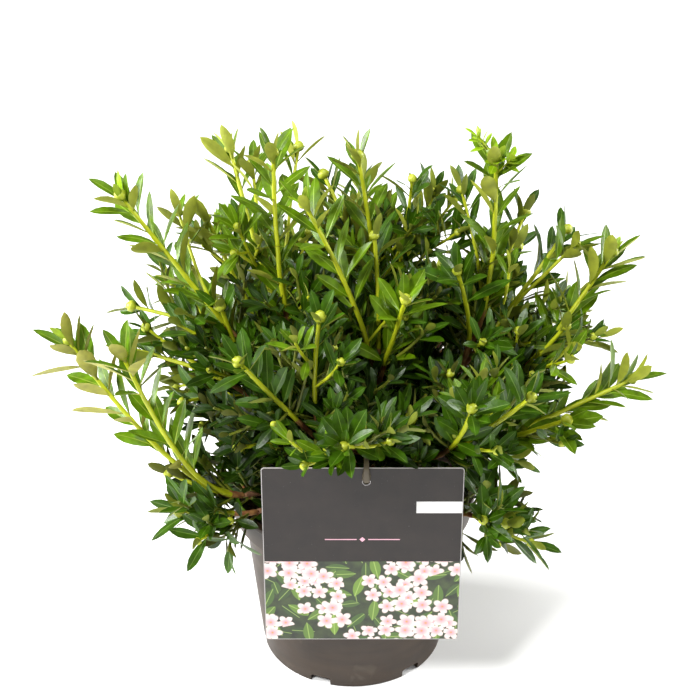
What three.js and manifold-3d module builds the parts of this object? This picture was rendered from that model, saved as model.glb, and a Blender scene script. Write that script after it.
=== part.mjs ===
// A potted evergreen shrub: a dense mound of long leafy shoots on a short woody stem,
// standing in a round nursery pot with a plain hanging label on a stake.
//
// Millimetres, +Z up, -Y is the front. The origin is the centre of the pot's flat underside.
// Azimuths are degrees round +Z, counted from +X, so 270 is the front.

import * as THREE from "three";
import { mergeVertices } from "three/addons/utils/BufferGeometryUtils.js";
import Module from "manifold-3d";

const wasm = await Module();
wasm.setup();

// ---------------------------------------------------------------- driving dimensions

const GAP = 0.3; // clearance between pieces that touch

const POT = {
  height: 172,
  baseRadius: 82,
  shoulderRadius: 96.5, // the wall just under the rim band
  bandBottomRadius: 106.5,
  rimRadius: 110,
  bandHeight: 26,
  wall: 1.4,
  floor: 1.6,
  lip: 2.6, // thickness of the rolled edge
  drains: 6, // notches cut into the lower edge
  drainWidth: 18.5,
  drainHeight: 8,
  drainDepth: 14,
  firstDrainAzimuth: 249.5,
  sides: 28,
};

const SOIL_TOP = 155;
const SOIL_DOME = 3; // the compost rises a little towards the stem

const LABEL = {
  width: 164,
  height: 179,
  thickness: 0.8,
  cornerRadius: 3,
  bottom: 83,
  centreX: 8,
  y: -113.2, // back face, just clear of the rim
  holeX: 11,
  holeRadius: 3,
  holeDrop: 14, // hole centre below the top edge
};

const STAKE = {
  width: 4,
  thickness: 2,
  footY: -82, // rear face of the upright at its foot
  backY: -97, // and at the foot of its arch
  archRadius: 10,
  archZ: 260,
  rootDepth: 50, // length pushed into the compost
  pointLength: 6,
  pegDrop: 0.45, // the peg's top lies this far under the hole's edge
  pegHeight: 2.2,
};

const TRUNK = {
  start: [-6, 4],
  lean: [4, 2], // where the axis stands at the fork
  top: 215,
  footRadius: 7.2,
  forkRadius: 5.2,
  flare: 3.6, // extra radius of the root flare at the cut
  flareShare: 0.12, // share of the height over which the flare dies away
  sides: 8,
  steps: 6,
};

const BOUGH = {
  baseRadius: 4,
  tipRadius: 2.2,
  parentShare: 0.75, // a bough is at most this share of its parent's radius
  turn: { out: 0.5, up: 0.3 }, // share of its reach and of its rise at which it turns upwards
  sides: 5,
  steps: 5,
};

const LEADER = {
  rootRadius: 0.9,
  radius: 1.9,
  tipRadius: 1.3,
  swell: 0.07, // share of the length over which the root swells to full size
  turn: 0.3, // share of the length over which it runs on in its bough's direction
  capOffset: { 1: 0, 2: 1.15, 3: 1.25 }, // from the middle of the bough's end, by shoots carried
  steps: 5,
};

const SIDE_SHOOT = {
  rootRadius: 0.8,
  radius: 1.4,
  tipRadius: 1,
  swell: 0.5,
  length: [52, 80],
  zone: [0.36, 0.74], // shares of the leader between which they stand
  shorter: 0.5, // they lose this share of their length from its root to its tip
  spread: [38, 58], // degrees off the leader
  lift: 0.16, // rise of the tip, as a share of the length
  tries: 8,
  steps: 2,
};
const TWIG_SIDES = 3;
const GOLDEN_ANGLE = 137.5;

const LEAF = {
  length: 48,
  width: 17.5,
  thickness: 1.1,
  widestAt: 0.45, // share of the length
  sunk: 0.5, // the root lies past the stem's axis by this share of its radius
  lift: 0.12, // leaves turn up a little to the light
  sizes: [0.88, 1.05],
  smaller: 0.06, // each further try is smaller by this
  tries: 6,
};
// Degrees between leaf and stem, and distances in mm from the tip of the stem.
const WHORL = { first: 4, step: 2.6, stem: 24, open: [45, 70] };
const SINGLE = { lowest: 0.8, open: [50, 75] };
const LEAVES_ON = { leader: { whorl: 5, singles: 5 }, side: { whorl: 3, singles: 0 } };
const FACE_ANGLE = { first: 30, step: 120, stray: 18 }; // middles of a stem's three faces

const BUD = { length: 12, radius: 3.8, widestAt: 0.6, sunk: 4.2 };

// Clearances
const LEAF_MARGIN = 2; // a leaf is this much nearer its own twigs than any others
const TWIG_MARGIN = 9; // a side shoot keeps this far from the stems of other masses
const LIMB_MARGIN = 1.6; // leaves and twigs keep this far off trunk, boughs, pot and label
const LEAF_SPACING = 6; // a leaf's edge stays this far from the middle of its neighbours
const STEM_SPACING = 3; // a leaf's outer part stays this far from its own mass's stems
const LABEL_SLOPE = 0.55; // leaves hang no lower than this slope before the label's face

// Boughs: name, parent, share of the parent's length, then azimuth, reach and height of the tip.
const BOUGHS = [
  ["bough_bottom_left", "trunk", 0.14, 220, 104, 184],
  ["bough_bottom_right", "trunk", 0.14, 321, 112, 186],
  ["bough_low_left", "trunk", 0.3, 213, 110, 196],
  ["bough_back_right", "trunk", 0.32, 46, 90, 240],
  ["bough_back_left", "trunk", 0.45, 142, 75, 245],
  ["bough_low_right", "trunk", 0.46, 350, 100, 215],
  ["bough_front_right", "trunk", 0.6, 318, 76, 225],
  ["bough_front_left", "trunk", 0.7, 240, 50, 236],
  ["bough_back", "trunk", 0.62, 94, 75, 240],
  ["bough_tall_right", "trunk", 0.76, 2, 86, 275],
  ["bough_centre", "trunk", 0.86, 311, 26, 265],
  ["bough_top_back", "trunk", 0.9, 63, 42, 280],
  ["bough_top_left", "trunk", 0.92, 180, 38, 270],
  ["bough_mid_left", "bough_low_left", 0.4, 180, 75, 236],
  ["bough_front", "bough_front_left", 0.3, 270, 60, 240],
  ["bough_upper_right", "bough_tall_right", 0.35, 357, 105, 250],
  ["bough_upper_left", "bough_top_left", 0.35, 177, 72, 278],
];

// Foliage masses: name, bough, then azimuth, reach and height of the leading tip, and side shoots.
const MASSES = [
  ["foliage_far_left", "bough_low_left", 190, 235, 335, 4],
  ["foliage_left_front", "bough_low_left", 209, 205, 357, 3],
  ["foliage_low_left", "bough_low_left", 200, 172, 222, 1],
  ["foliage_left", "bough_mid_left", 171, 190, 285, 3],
  ["foliage_inner_left", "bough_mid_left", 190, 110, 355, 3],
  ["foliage_upper_left", "bough_upper_left", 180, 185, 446, 4],
  ["foliage_high_back_left", "bough_back_left", 142, 160, 375, 2],
  ["foliage_far_back_left", "bough_back_left", 156, 225, 295, 2],
  ["foliage_back_left", "bough_back_left", 125, 210, 320, 2],
  ["foliage_top_left", "bough_top_left", 142, 130, 450, 3],
  ["foliage_crown_left", "bough_top_left", 180, 63, 484, 4],
  ["foliage_top", "bough_top_back", 86, 70, 448, 3],
  ["foliage_top_back", "bough_top_back", 103, 130, 415, 2],
  ["foliage_top_right", "bough_top_back", 49, 105, 410, 3],
  ["foliage_leaning", "bough_centre", 228, 55, 460, 3],
  ["foliage_centre", "bough_centre", 332, 20, 415, 2],
  ["foliage_centre_front", "bough_centre", 301, 80, 390, 2],
  ["foliage_tall_right", "bough_tall_right", 5, 115, 475, 4],
  ["foliage_high_right", "bough_tall_right", 18, 190, 385, 3],
  ["foliage_centre_right", "bough_tall_right", 340, 90, 395, 3],
  ["foliage_upper_right", "bough_upper_right", 5, 215, 385, 3],
  ["foliage_mid_right", "bough_upper_right", 356, 176, 332, 2],
  ["foliage_far_right", "bough_low_right", 353, 233, 291, 4],
  ["foliage_low_right", "bough_low_right", 335, 190, 285, 2],
  ["foliage_right_front", "bough_front_right", 316, 190, 340, 3],
  ["foliage_front_right", "bough_front_right", 299, 185, 350, 3],
  ["foliage_front", "bough_front", 268, 175, 325, 3],
  ["foliage_front_low", "bough_front", 294, 110, 300, 2],
  ["foliage_front_left", "bough_front_left", 236, 155, 370, 3],
  ["foliage_inner_front_left", "bough_front_left", 226, 130, 268, 2],
  ["foliage_inner_front", "bough_front_left", 252, 85, 380, 2],
  ["foliage_bottom_left", "bough_bottom_left", 213, 168, 202, 2],
  ["foliage_bottom_right", "bough_bottom_right", 320, 163, 200, 2],
  ["foliage_back_top", "bough_back", 88, 215, 355, 2],
  ["foliage_back_low", "bough_back", 100, 195, 236, 2],
  ["foliage_back_right", "bough_back_right", 45, 220, 325, 2],
  ["foliage_far_back_right", "bough_back_right", 25, 235, 290, 2],
  ["foliage_low_back_right", "bough_back_right", 66, 205, 262, 1],
];

// ---------------------------------------------------------------- colours

const COLOURS = {
  pot: 0x6b6354,
  soil: 0x3a2c22,
  label: 0x54504d,
  stake: 0x8d867a,
  bark: 0x6b4a35,
  foliage: [0x3e5420, 0x4a6426, 0x35491c, 0x567030],
};

function paint(colour, roughness) {
  return new THREE.MeshStandardMaterial({ color: colour, roughness, metalness: 0 });
}

// ---------------------------------------------------------------- small helpers

// Repeatable random numbers between 0 and 1, from a whole-number seed.
function randomFrom(seed) {
  let state = (seed * 7919 + 12345) % 4294967296;
  return () => {
    state = (state * 1664525 + 1013904223) % 4294967296;
    return state / 4294967296;
  };
}

function lerp(a, b, t) {
  return a + (b - a) * t;
}

function heading(azimuth) {
  const angle = THREE.MathUtils.degToRad(azimuth);
  return new THREE.Vector3(Math.cos(angle), Math.sin(angle), 0);
}

function tipAt(azimuth, reach, height) {
  return heading(azimuth).multiplyScalar(reach).setZ(height);
}

// Any unit vector square to the given one.
function squareTo(direction) {
  const helper = Math.abs(direction.z) < 0.9 ? new THREE.Vector3(0, 0, 1) : new THREE.Vector3(1, 0, 0);
  return helper.cross(direction).normalize();
}

// Point, direction and two cross directions of a limb's axis. The axis lies in one plane, so
// the cross directions never twist.
function frameAt(curve, t) {
  const along = curve.getTangent(t);
  const plane = new THREE.Vector3().crossVectors(
    curve.v1.clone().sub(curve.v0),
    curve.v2.clone().sub(curve.v0),
  );
  const side = plane.length() > 1e-3 ? plane.normalize() : squareTo(along);
  const across = new THREE.Vector3().crossVectors(side, along).normalize();
  return { point: curve.getPoint(t), along, across, side: new THREE.Vector3().crossVectors(across, along) };
}

// ---------------------------------------------------------------- solids

function solidFrom(geometry) {
  const bare = geometry.clone();
  bare.deleteAttribute("normal");
  bare.deleteAttribute("uv");
  const merged = mergeVertices(bare, 1e-4);
  const mesh = new wasm.Mesh({
    numProp: 3,
    vertProperties: new Float32Array(merged.attributes.position.array),
    triVerts: new Uint32Array(merged.index.array),
  });
  return new wasm.Manifold(mesh);
}

function geometryFrom(solid) {
  const mesh = solid.getMesh();
  const geometry = new THREE.BufferGeometry();
  geometry.setAttribute("position", new THREE.BufferAttribute(new Float32Array(mesh.vertProperties), 3));
  geometry.setIndex(new THREE.BufferAttribute(new Uint32Array(mesh.triVerts), 1));
  geometry.computeVertexNormals();
  return geometry;
}

// The largest connected body of a solid: loose scraps are dropped and sealed pockets filled.
function mainBody(solid) {
  return solid.decompose().reduce((best, piece) => (piece.volume() > best.volume() ? piece : best));
}

function bend(geometry, place) {
  const position = geometry.attributes.position;
  const vertex = new THREE.Vector3();
  for (let i = 0; i < position.count; i += 1) {
    place(vertex.fromBufferAttribute(position, i));
    position.setXYZ(i, vertex.x, vertex.y, vertex.z);
  }
  return geometry;
}

// A tapering limb: a cylinder bent along the axis, `extra` mm fatter and longer at each end.
function limbGeometry(limb, extra = 0) {
  const cylinder = new THREE.CylinderGeometry(1, 1, 1, limb.sides, limb.steps);
  return bend(cylinder, (vertex) => {
    const t = THREE.MathUtils.clamp(vertex.y + 0.5, 0, 1);
    const frame = frameAt(limb.curve, t);
    const radius = limb.radiusAt(t) + extra;
    const { x, z } = vertex;
    vertex.copy(frame.point);
    vertex.addScaledVector(frame.along, (2 * t - 1) * extra);
    vertex.addScaledVector(frame.across, x * radius);
    vertex.addScaledVector(frame.side, z * radius);
  });
}

// A leaf or bud: an octahedron stretched from its root to its tip, widest part way along.
function spindleGeometry(spindle) {
  const { root, along, across, face, length, halfWidth, halfThickness, widestAt } = spindle;
  return bend(new THREE.OctahedronGeometry(1), (vertex) => {
    const { x, y, z } = vertex;
    const share = Math.abs(y) > 0.5 ? (y + 1) / 2 : widestAt;
    vertex.copy(root);
    vertex.addScaledVector(along, share * length);
    vertex.addScaledVector(across, x * halfWidth);
    vertex.addScaledVector(face, z * halfThickness);
  });
}

// ---------------------------------------------------------------- pot, compost, label and stake

function potProfile() {
  const { height, baseRadius, shoulderRadius, bandBottomRadius, rimRadius, bandHeight } = POT;
  const { wall, floor, lip } = POT;
  const bandZ = height - bandHeight;
  return [
    [0, 0],
    [baseRadius - 0.8, 0],
    [baseRadius, 1],
    [shoulderRadius, bandZ],
    [bandBottomRadius, bandZ + 1],
    [rimRadius, height - 1],
    [rimRadius - lip / 2, height],
    [rimRadius - lip, height - 1],
    [bandBottomRadius - wall, bandZ + 1 + wall],
    [shoulderRadius - wall, bandZ + wall],
    [baseRadius - wall, floor],
    [0, floor],
  ].map(([radius, z]) => new THREE.Vector2(radius, z));
}

// A profile from the axis and back to it, turned round +Z.
function turned(profile) {
  return new THREE.LatheGeometry(profile, POT.sides).rotateX(Math.PI / 2);
}

// Six blocks round the foot, one at each drain: from one radius to another and between two heights.
function drainBlocks(inner, outer, width, low, high) {
  return Array.from({ length: POT.drains }, (_, i) => {
    const azimuth = POT.firstDrainAzimuth + (i * 360) / POT.drains;
    const block = new THREE.BoxGeometry(outer - inner, width, high - low);
    block.translate((inner + outer) / 2, 0, (low + high) / 2);
    return solidFrom(block.rotateZ(THREE.MathUtils.degToRad(azimuth)));
  });
}

// The pocket behind a drain notch, with a wall round it. Its outer end lies in the pot's wall.
function drainPockets(low, extra) {
  const { baseRadius, drainDepth, drainWidth, drainHeight, wall } = POT;
  const grown = wall + extra;
  const inner = baseRadius - drainDepth - grown;
  const outer = baseRadius - 0.8 * wall + 4 * extra;
  return drainBlocks(inner, outer, drainWidth + 2 * grown, low, drainHeight + grown);
}

function potSolid() {
  const { baseRadius, drainDepth, drainWidth, drainHeight, floor } = POT;
  const [inner, outer] = [baseRadius - drainDepth, baseRadius + drainDepth];
  const notches = drainBlocks(inner, outer, drainWidth, -drainHeight, drainHeight);
  let pot = solidFrom(turned(potProfile()));
  drainPockets(floor / 2, 0).forEach((pocket) => {
    pot = pot.add(pocket);
  });
  notches.forEach((notch) => {
    pot = pot.subtract(notch);
  });
  return mainBody(pot);
}

function rootBallSolid() {
  const { height, baseRadius, shoulderRadius, bandBottomRadius, bandHeight, wall, floor } = POT;
  const clear = wall + GAP;
  const bandZ = height - bandHeight;
  const profile = [
    [0, floor + GAP],
    [baseRadius - clear, floor + GAP],
    [shoulderRadius - clear, bandZ + clear],
    [bandBottomRadius - clear, bandZ + 1 + clear],
    [bandBottomRadius - clear, SOIL_TOP - SOIL_DOME],
    [bandBottomRadius / 3, SOIL_TOP],
    [0, SOIL_TOP],
  ].map(([radius, z]) => new THREE.Vector2(radius, z));
  let ball = solidFrom(turned(profile)).subtract(stakeSlotSolid());
  drainPockets(0, GAP).forEach((pocket) => {
    ball = ball.subtract(pocket);
  });
  return mainBody(ball);
}

// Side views of the stake and its slot are drawn in (-Y, Z) and stood up at the label's hole.
function fromSideView(shape, width) {
  const solid = new THREE.ExtrudeGeometry(shape, { depth: width, bevelEnabled: false, curveSegments: 6 });
  solid.translate(0, 0, -width / 2);
  solid.rotateX(Math.PI / 2).rotateZ(-Math.PI / 2);
  return solidFrom(solid.translate(LABEL.holeX, 0, 0));
}

// Distance of the upright's rear face in front of the pot's axis, at a height.
function stakeBackAt(z) {
  const foot = SOIL_TOP - STAKE.rootDepth;
  return -lerp(STAKE.footY, STAKE.backY, (z - foot) / (STAKE.archZ - foot));
}

function stakeSlotSolid() {
  const { rootDepth, thickness, width } = STAKE;
  const low = SOIL_TOP - rootDepth - GAP;
  const high = SOIL_TOP + 5;
  const slot = new THREE.Shape();
  slot.moveTo(stakeBackAt(low) - GAP, low);
  slot.lineTo(stakeBackAt(low) + thickness + GAP, low);
  slot.lineTo(stakeBackAt(high) + thickness + GAP, high);
  slot.lineTo(stakeBackAt(high) - GAP, high);
  slot.closePath();
  return fromSideView(slot, width + 2 * GAP);
}

function roundedRectangle(left, bottom, width, height, radius) {
  const right = left + width;
  const top = bottom + height;
  const shape = new THREE.Shape();
  shape.absarc(right - radius, bottom + radius, radius, -Math.PI / 2, 0, false);
  shape.absarc(right - radius, top - radius, radius, 0, Math.PI / 2, false);
  shape.absarc(left + radius, top - radius, radius, Math.PI / 2, Math.PI, false);
  shape.absarc(left + radius, bottom + radius, radius, Math.PI, 1.5 * Math.PI, false);
  return shape;
}

function labelSolid() {
  const { width, height, thickness, cornerRadius, bottom, centreX, y } = LABEL;
  const outline = roundedRectangle(centreX - width / 2, bottom, width, height, cornerRadius);
  const hole = new THREE.Path();
  hole.absarc(LABEL.holeX, bottom + height - LABEL.holeDrop, LABEL.holeRadius, 0, 2 * Math.PI, false);
  outline.holes.push(hole);
  const options = { depth: thickness, bevelEnabled: false, curveSegments: 4 };
  const card = new THREE.ExtrudeGeometry(outline, options);
  card.rotateX(Math.PI / 2);
  card.translate(0, y, 0);
  return solidFrom(card);
}

// The stake: a leaning upright, an arch over the card's top edge, a tongue down its front and a
// peg through its hole.
function stakeSolid() {
  const { width, thickness, backY, archRadius, archZ, rootDepth, pointLength, pegDrop, pegHeight } = STAKE;
  const back = -backY;
  const front = back + 2 * archRadius;
  const middle = back + archRadius;
  const holeZ = LABEL.bottom + LABEL.height - LABEL.holeDrop;
  const holeHalf = Math.sqrt(LABEL.holeRadius ** 2 - (width / 2) ** 2);
  const pegTop = holeZ + holeHalf - pegDrop;
  const pegEnd = -LABEL.y - 1.2;
  const foot = SOIL_TOP - rootDepth;
  const neck = foot + pointLength;
  const shape = new THREE.Shape();
  shape.moveTo(stakeBackAt(foot) + thickness / 2, foot);
  shape.lineTo(stakeBackAt(neck) + thickness, neck);
  shape.lineTo(back + thickness, archZ);
  shape.absarc(middle, archZ, archRadius - thickness, Math.PI, 0, true);
  shape.lineTo(front - thickness, pegTop);
  shape.lineTo(pegEnd, pegTop);
  shape.lineTo(pegEnd, pegTop - pegHeight);
  shape.lineTo(front, pegTop - pegHeight);
  shape.lineTo(front, archZ);
  shape.absarc(middle, archZ, archRadius, 0, Math.PI, false);
  shape.lineTo(stakeBackAt(neck), neck);
  shape.closePath();
  return fromSideView(shape, width);
}

// ---------------------------------------------------------------- limbs

function trunkLimb() {
  const foot = new THREE.Vector3(...TRUNK.start, SOIL_TOP + GAP);
  const above = new THREE.Vector3(...TRUNK.start, lerp(SOIL_TOP, TRUNK.top, 0.5));
  const fork = new THREE.Vector3(...TRUNK.lean, TRUNK.top);
  const taper = (t) => lerp(TRUNK.footRadius, TRUNK.forkRadius, t);
  return {
    curve: new THREE.QuadraticBezierCurve3(foot, above, fork),
    radiusAt: (t) => taper(t) + TRUNK.flare * Math.exp(-t / TRUNK.flareShare),
    sides: TRUNK.sides,
    steps: TRUNK.steps,
  };
}

// A bough leaves its parent flat and turns upwards. Its root lies inside the parent, which
// is then cut out of it with a gap.
function boughLimb(parent, share, tip) {
  const origin = parent.curve.getPoint(share);
  const direction = parent.curve.getTangent(share);
  const parentRadius = parent.radiusAt(share);
  const outwards = tip.clone().sub(origin).projectOnPlane(direction).normalize();
  const root = origin.addScaledVector(outwards, parentRadius / 2);
  const rise = tip.clone().sub(root);
  const { out, up } = BOUGH.turn;
  const turn = root.clone().add(new THREE.Vector3(rise.x * out, rise.y * out, rise.z * up));
  const baseRadius = Math.min(BOUGH.baseRadius, BOUGH.parentShare * parentRadius);
  return {
    curve: new THREE.QuadraticBezierCurve3(root, turn, tip),
    radiusAt: (t) => lerp(baseRadius, BOUGH.tipRadius, t),
    sides: BOUGH.sides,
    steps: BOUGH.steps,
  };
}

function growLimbs() {
  const limbs = { trunk: trunkLimb() };
  const parents = {};
  for (const [name, parent, share, azimuth, reach, height] of BOUGHS) {
    limbs[name] = boughLimb(limbs[parent], share, tipAt(azimuth, reach, height));
    parents[name] = parent;
  }
  return { limbs, parents };
}

// ---------------------------------------------------------------- shoots

// Where each shoot stands on its bough's flat end: evenly round it, each on the side it grows to.
function rootsOnCap(bough, tips) {
  const { point, along, across, side } = frameAt(bough.curve, 1);
  const end = point.clone().addScaledVector(along, GAP);
  const angles = tips.map((tip) => {
    const away = tip.clone().sub(end);
    return Math.atan2(away.dot(side), away.dot(across));
  });
  const ranked = angles.map((_, i) => i).sort((a, b) => angles[a] - angles[b]);
  const slots = ranked.map((_, i) => (ranked.indexOf(i) * 2 * Math.PI) / tips.length);
  const sines = slots.reduce((sum, slot, i) => sum + Math.sin(angles[i] - slot), 0);
  const cosines = slots.reduce((sum, slot, i) => sum + Math.cos(angles[i] - slot), 0);
  const turn = Math.atan2(sines, cosines);
  const offset = LEADER.capOffset[tips.length];
  return slots.map((slot) => {
    const root = end.clone();
    root.addScaledVector(across, offset * Math.cos(slot + turn));
    root.addScaledVector(side, offset * Math.sin(slot + turn));
    return { root, along };
  });
}

// A shoot's radius: a narrow root that swells to full size, then tapers to the tip.
function shootRadius({ rootRadius, radius, tipRadius, swell }) {
  return (t) => Math.min(lerp(rootRadius, radius, Math.min(1, t / swell)), lerp(radius, tipRadius, t));
}

function leaderTwig({ root, along }, tip) {
  const turn = root.clone().addScaledVector(along, LEADER.turn * root.distanceTo(tip));
  const curve = new THREE.QuadraticBezierCurve3(root, turn, tip);
  return { curve, radiusAt: shootRadius(LEADER), sides: TWIG_SIDES, steps: LEADER.steps };
}

// A side shoot leaves the leader at an angle and curves upwards.
function sideTwig(leader, share, turnAngle, spread, length) {
  const { point, along, across, side } = frameAt(leader.curve, share);
  const outwards = across.multiplyScalar(Math.cos(turnAngle)).addScaledVector(side, Math.sin(turnAngle));
  const start = along.multiplyScalar(Math.cos(spread)).addScaledVector(outwards, Math.sin(spread));
  const turn = point.clone().addScaledVector(start, length * 0.5);
  const tip = point.clone().addScaledVector(start, length * 0.95);
  tip.z += length * SIDE_SHOOT.lift;
  const curve = new THREE.QuadraticBezierCurve3(point, turn, tip);
  return { curve, radiusAt: shootRadius(SIDE_SHOOT), sides: TWIG_SIDES, steps: SIDE_SHOOT.steps };
}

// ---------------------------------------------------------------- keeping clear

function segmentsOf(limb) {
  const points = limb.curve.getPoints(limb.steps);
  return points.slice(1).map((end, i) => {
    const radius = limb.radiusAt((i + 0.5) / limb.steps);
    return { start: points[i], span: end.clone().sub(points[i]), radius };
  });
}

function distanceToSegment(point, { start, span }) {
  const away = point.clone().sub(start);
  const t = THREE.MathUtils.clamp(away.dot(span) / span.lengthSq(), 0, 1);
  return away.addScaledVector(span, -t).length();
}

function nearest(point, segments) {
  return segments.reduce((least, segment) => Math.min(least, distanceToSegment(point, segment)), Infinity);
}

function touchesLimb(point, segments) {
  return segments.some((segment) => distanceToSegment(point, segment) < segment.radius + LIMB_MARGIN);
}

function touchesPot({ x, y, z }) {
  return z < POT.height + LIMB_MARGIN && Math.hypot(x, y) < POT.rimRadius + LIMB_MARGIN;
}

// The label, and the space before its face down to a slope from its top edge.
function touchesLabel({ x, y, z }) {
  const ahead = LABEL.y - y;
  const beside = Math.abs(x - LABEL.centreX) > LABEL.width / 2 + LIMB_MARGIN;
  const top = LABEL.bottom + LABEL.height + LIMB_MARGIN;
  return !beside && ahead > -LIMB_MARGIN && z < top + LABEL_SLOPE * ahead;
}

function touchesStake({ x, y, z }) {
  const beside = Math.abs(x - LABEL.holeX) > STAKE.width / 2 + LIMB_MARGIN;
  const rear = STAKE.footY + LIMB_MARGIN;
  const front = STAKE.backY - 2 * STAKE.archRadius - LIMB_MARGIN;
  const top = STAKE.archZ + STAKE.archRadius + LIMB_MARGIN;
  return !beside && y < rear && y > front && z < top;
}

function touchesThings(point) {
  return touchesPot(point) || touchesLabel(point) || touchesStake(point);
}

// ---------------------------------------------------------------- foliage

function growLeaders(limbs) {
  const masses = MASSES.map(([name, bough, azimuth, reach, height, sideShoots], index) => {
    const tip = tipAt(azimuth, reach, height);
    return { name, bough, tip, sideShoots, index, twigs: [], segments: [] };
  });
  for (const [bough] of BOUGHS) {
    const carried = masses.filter((mass) => mass.bough === bough);
    const roots = carried.length ? rootsOnCap(limbs[bough], carried.map((mass) => mass.tip)) : [];
    carried.forEach((mass, i) => addTwig(mass, leaderTwig(roots[i], mass.tip)));
  }
  return masses;
}

function addTwig(mass, twig) {
  mass.twigs.push(twig);
  mass.segments.push(...segmentsOf(twig));
}

// Side shoots follow the golden angle up the leader; one that comes too near a limb or another
// mass is turned on, and after some tries it is left out.
function growSideShoots(mass, masses, limbSegments) {
  const random = randomFrom(mass.index + 1);
  const others = masses.filter((other) => other !== mass).flatMap((other) => other.segments);
  const isClear = (point) => {
    if (nearest(point, others) < TWIG_MARGIN) return false;
    return !touchesLimb(point, limbSegments) && !touchesThings(point);
  };
  const [leader] = mass.twigs;
  let turnAngle = random() * 2 * Math.PI;
  for (let i = 0; i < mass.sideShoots; i += 1) {
    const share = lerp(...SIDE_SHOOT.zone, (i + 0.5) / mass.sideShoots);
    const length = lerp(...SIDE_SHOOT.length, random()) * (1.15 - SIDE_SHOOT.shorter * share);
    const spread = THREE.MathUtils.degToRad(lerp(...SIDE_SHOOT.spread, random()));
    for (let attempt = 0; attempt < SIDE_SHOOT.tries; attempt += 1) {
      turnAngle += THREE.MathUtils.degToRad(GOLDEN_ANGLE);
      const twig = sideTwig(leader, share, turnAngle, spread, length);
      if (twig.curve.getPoints(8).slice(1).every(isClear)) {
        addTwig(mass, twig);
        break;
      }
    }
  }
}

// Leaves of one twig: a whorl behind the bud at its tip, then singles spread down its stem.
// Each stands on the middle of one of the stem's three faces.
function leafSites(twig, { whorl, singles }, random) {
  const length = twig.curve.getLength();
  const step = (SINGLE.lowest * length - WHORL.stem) / Math.max(1, singles);
  const sites = [];
  for (let i = 0; i < whorl + singles; i += 1) {
    const inWhorl = i < whorl;
    const back = inWhorl ? WHORL.first + i * WHORL.step : WHORL.stem + (i - whorl) * step;
    const open = lerp(...(inWhorl ? WHORL.open : SINGLE.open), random());
    const stray = lerp(-FACE_ANGLE.stray, FACE_ANGLE.stray, random());
    const turnAngle = FACE_ANGLE.first + FACE_ANGLE.step * i + stray;
    sites.push({ share: 1 - back / length, open, turnAngle });
  }
  return sites;
}

function leafAt(twig, { share, turnAngle, open }, size) {
  const { point, along, across, side } = frameAt(twig.curve, share);
  const turn = THREE.MathUtils.degToRad(turnAngle);
  const tilt = THREE.MathUtils.degToRad(open);
  const outwards = across.multiplyScalar(Math.cos(turn)).addScaledVector(side, Math.sin(turn));
  const direction = along.clone().multiplyScalar(Math.cos(tilt)).addScaledVector(outwards, Math.sin(tilt));
  direction.z += LEAF.lift;
  direction.normalize();
  const face = along.clone().projectOnPlane(direction).normalize();
  return {
    root: point.addScaledVector(direction, -LEAF.sunk * twig.radiusAt(share)),
    along: direction,
    across: new THREE.Vector3().crossVectors(direction, face),
    face,
    length: LEAF.length * size,
    halfWidth: (LEAF.width * size) / 2,
    halfThickness: LEAF.thickness / 2,
    widestAt: LEAF.widestAt,
  };
}

// Points spread over a leaf's outline and middle, for testing its clearances.
function leafPoints(leaf) {
  const points = [];
  for (const share of [0.16, 0.3, 0.45, 0.6, 0.75, 0.9, 1]) {
    const fullness = share < leaf.widestAt ? share / leaf.widestAt : (1 - share) / (1 - leaf.widestAt);
    for (const edge of [-1, 0, 1]) {
      const point = leaf.root.clone().addScaledVector(leaf.along, share * leaf.length);
      points.push(point.addScaledVector(leaf.across, edge * fullness * leaf.halfWidth));
    }
  }
  return points;
}

// The middle of a leaf's outer two thirds.
function midline(leaf) {
  const start = leaf.root.clone().addScaledVector(leaf.along, 0.3 * leaf.length);
  return { start, span: leaf.along.clone().multiplyScalar(0.7 * leaf.length) };
}

function budAt(twig) {
  const { point, along, across, side } = frameAt(twig.curve, 1);
  return {
    root: point.addScaledVector(along, -BUD.sunk),
    along,
    across: side,
    face: across,
    length: BUD.length,
    halfWidth: BUD.radius,
    halfThickness: BUD.radius,
    widestAt: BUD.widestAt,
  };
}

// A point is a mass's own when it is clearly nearer to its twigs than to any other mass's, and
// off every limb, the pot and the label.
function ownSpace(mass, masses, limbSegments) {
  const others = masses.filter((other) => other !== mass).flatMap((other) => other.segments);
  return (point) => {
    const strayed = nearest(point, mass.segments) + LEAF_MARGIN > nearest(point, others);
    return !strayed && !touchesLimb(point, limbSegments) && !touchesThings(point);
  };
}

// Each leaf is tried a few times, turned to the next face of the stem and a little smaller each
// time, and is left out where none of the tries stays in the mass's own space.
function growLeaves(mass, isOwn) {
  const random = randomFrom(mass.index + 101);
  const leaves = [];
  const taken = [];
  const isFree = (point) => {
    return nearest(point, taken) > LEAF_SPACING && nearest(point, mass.segments) > STEM_SPACING;
  };
  mass.twigs.forEach((twig, rank) => {
    for (const site of leafSites(twig, rank === 0 ? LEAVES_ON.leader : LEAVES_ON.side, random)) {
      for (let attempt = 0; attempt < LEAF.tries; attempt += 1) {
        const size = lerp(...LEAF.sizes, random()) * (1 - LEAF.smaller * attempt);
        const turnAngle = site.turnAngle + FACE_ANGLE.step * attempt;
        const leaf = leafAt(twig, { ...site, turnAngle }, size);
        const points = leafPoints(leaf);
        if (points.every(isOwn) && points.slice(6).every(isFree)) {
          leaves.push(leaf);
          taken.push(midline(leaf));
          break;
        }
      }
    }
  });
  return leaves;
}

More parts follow.
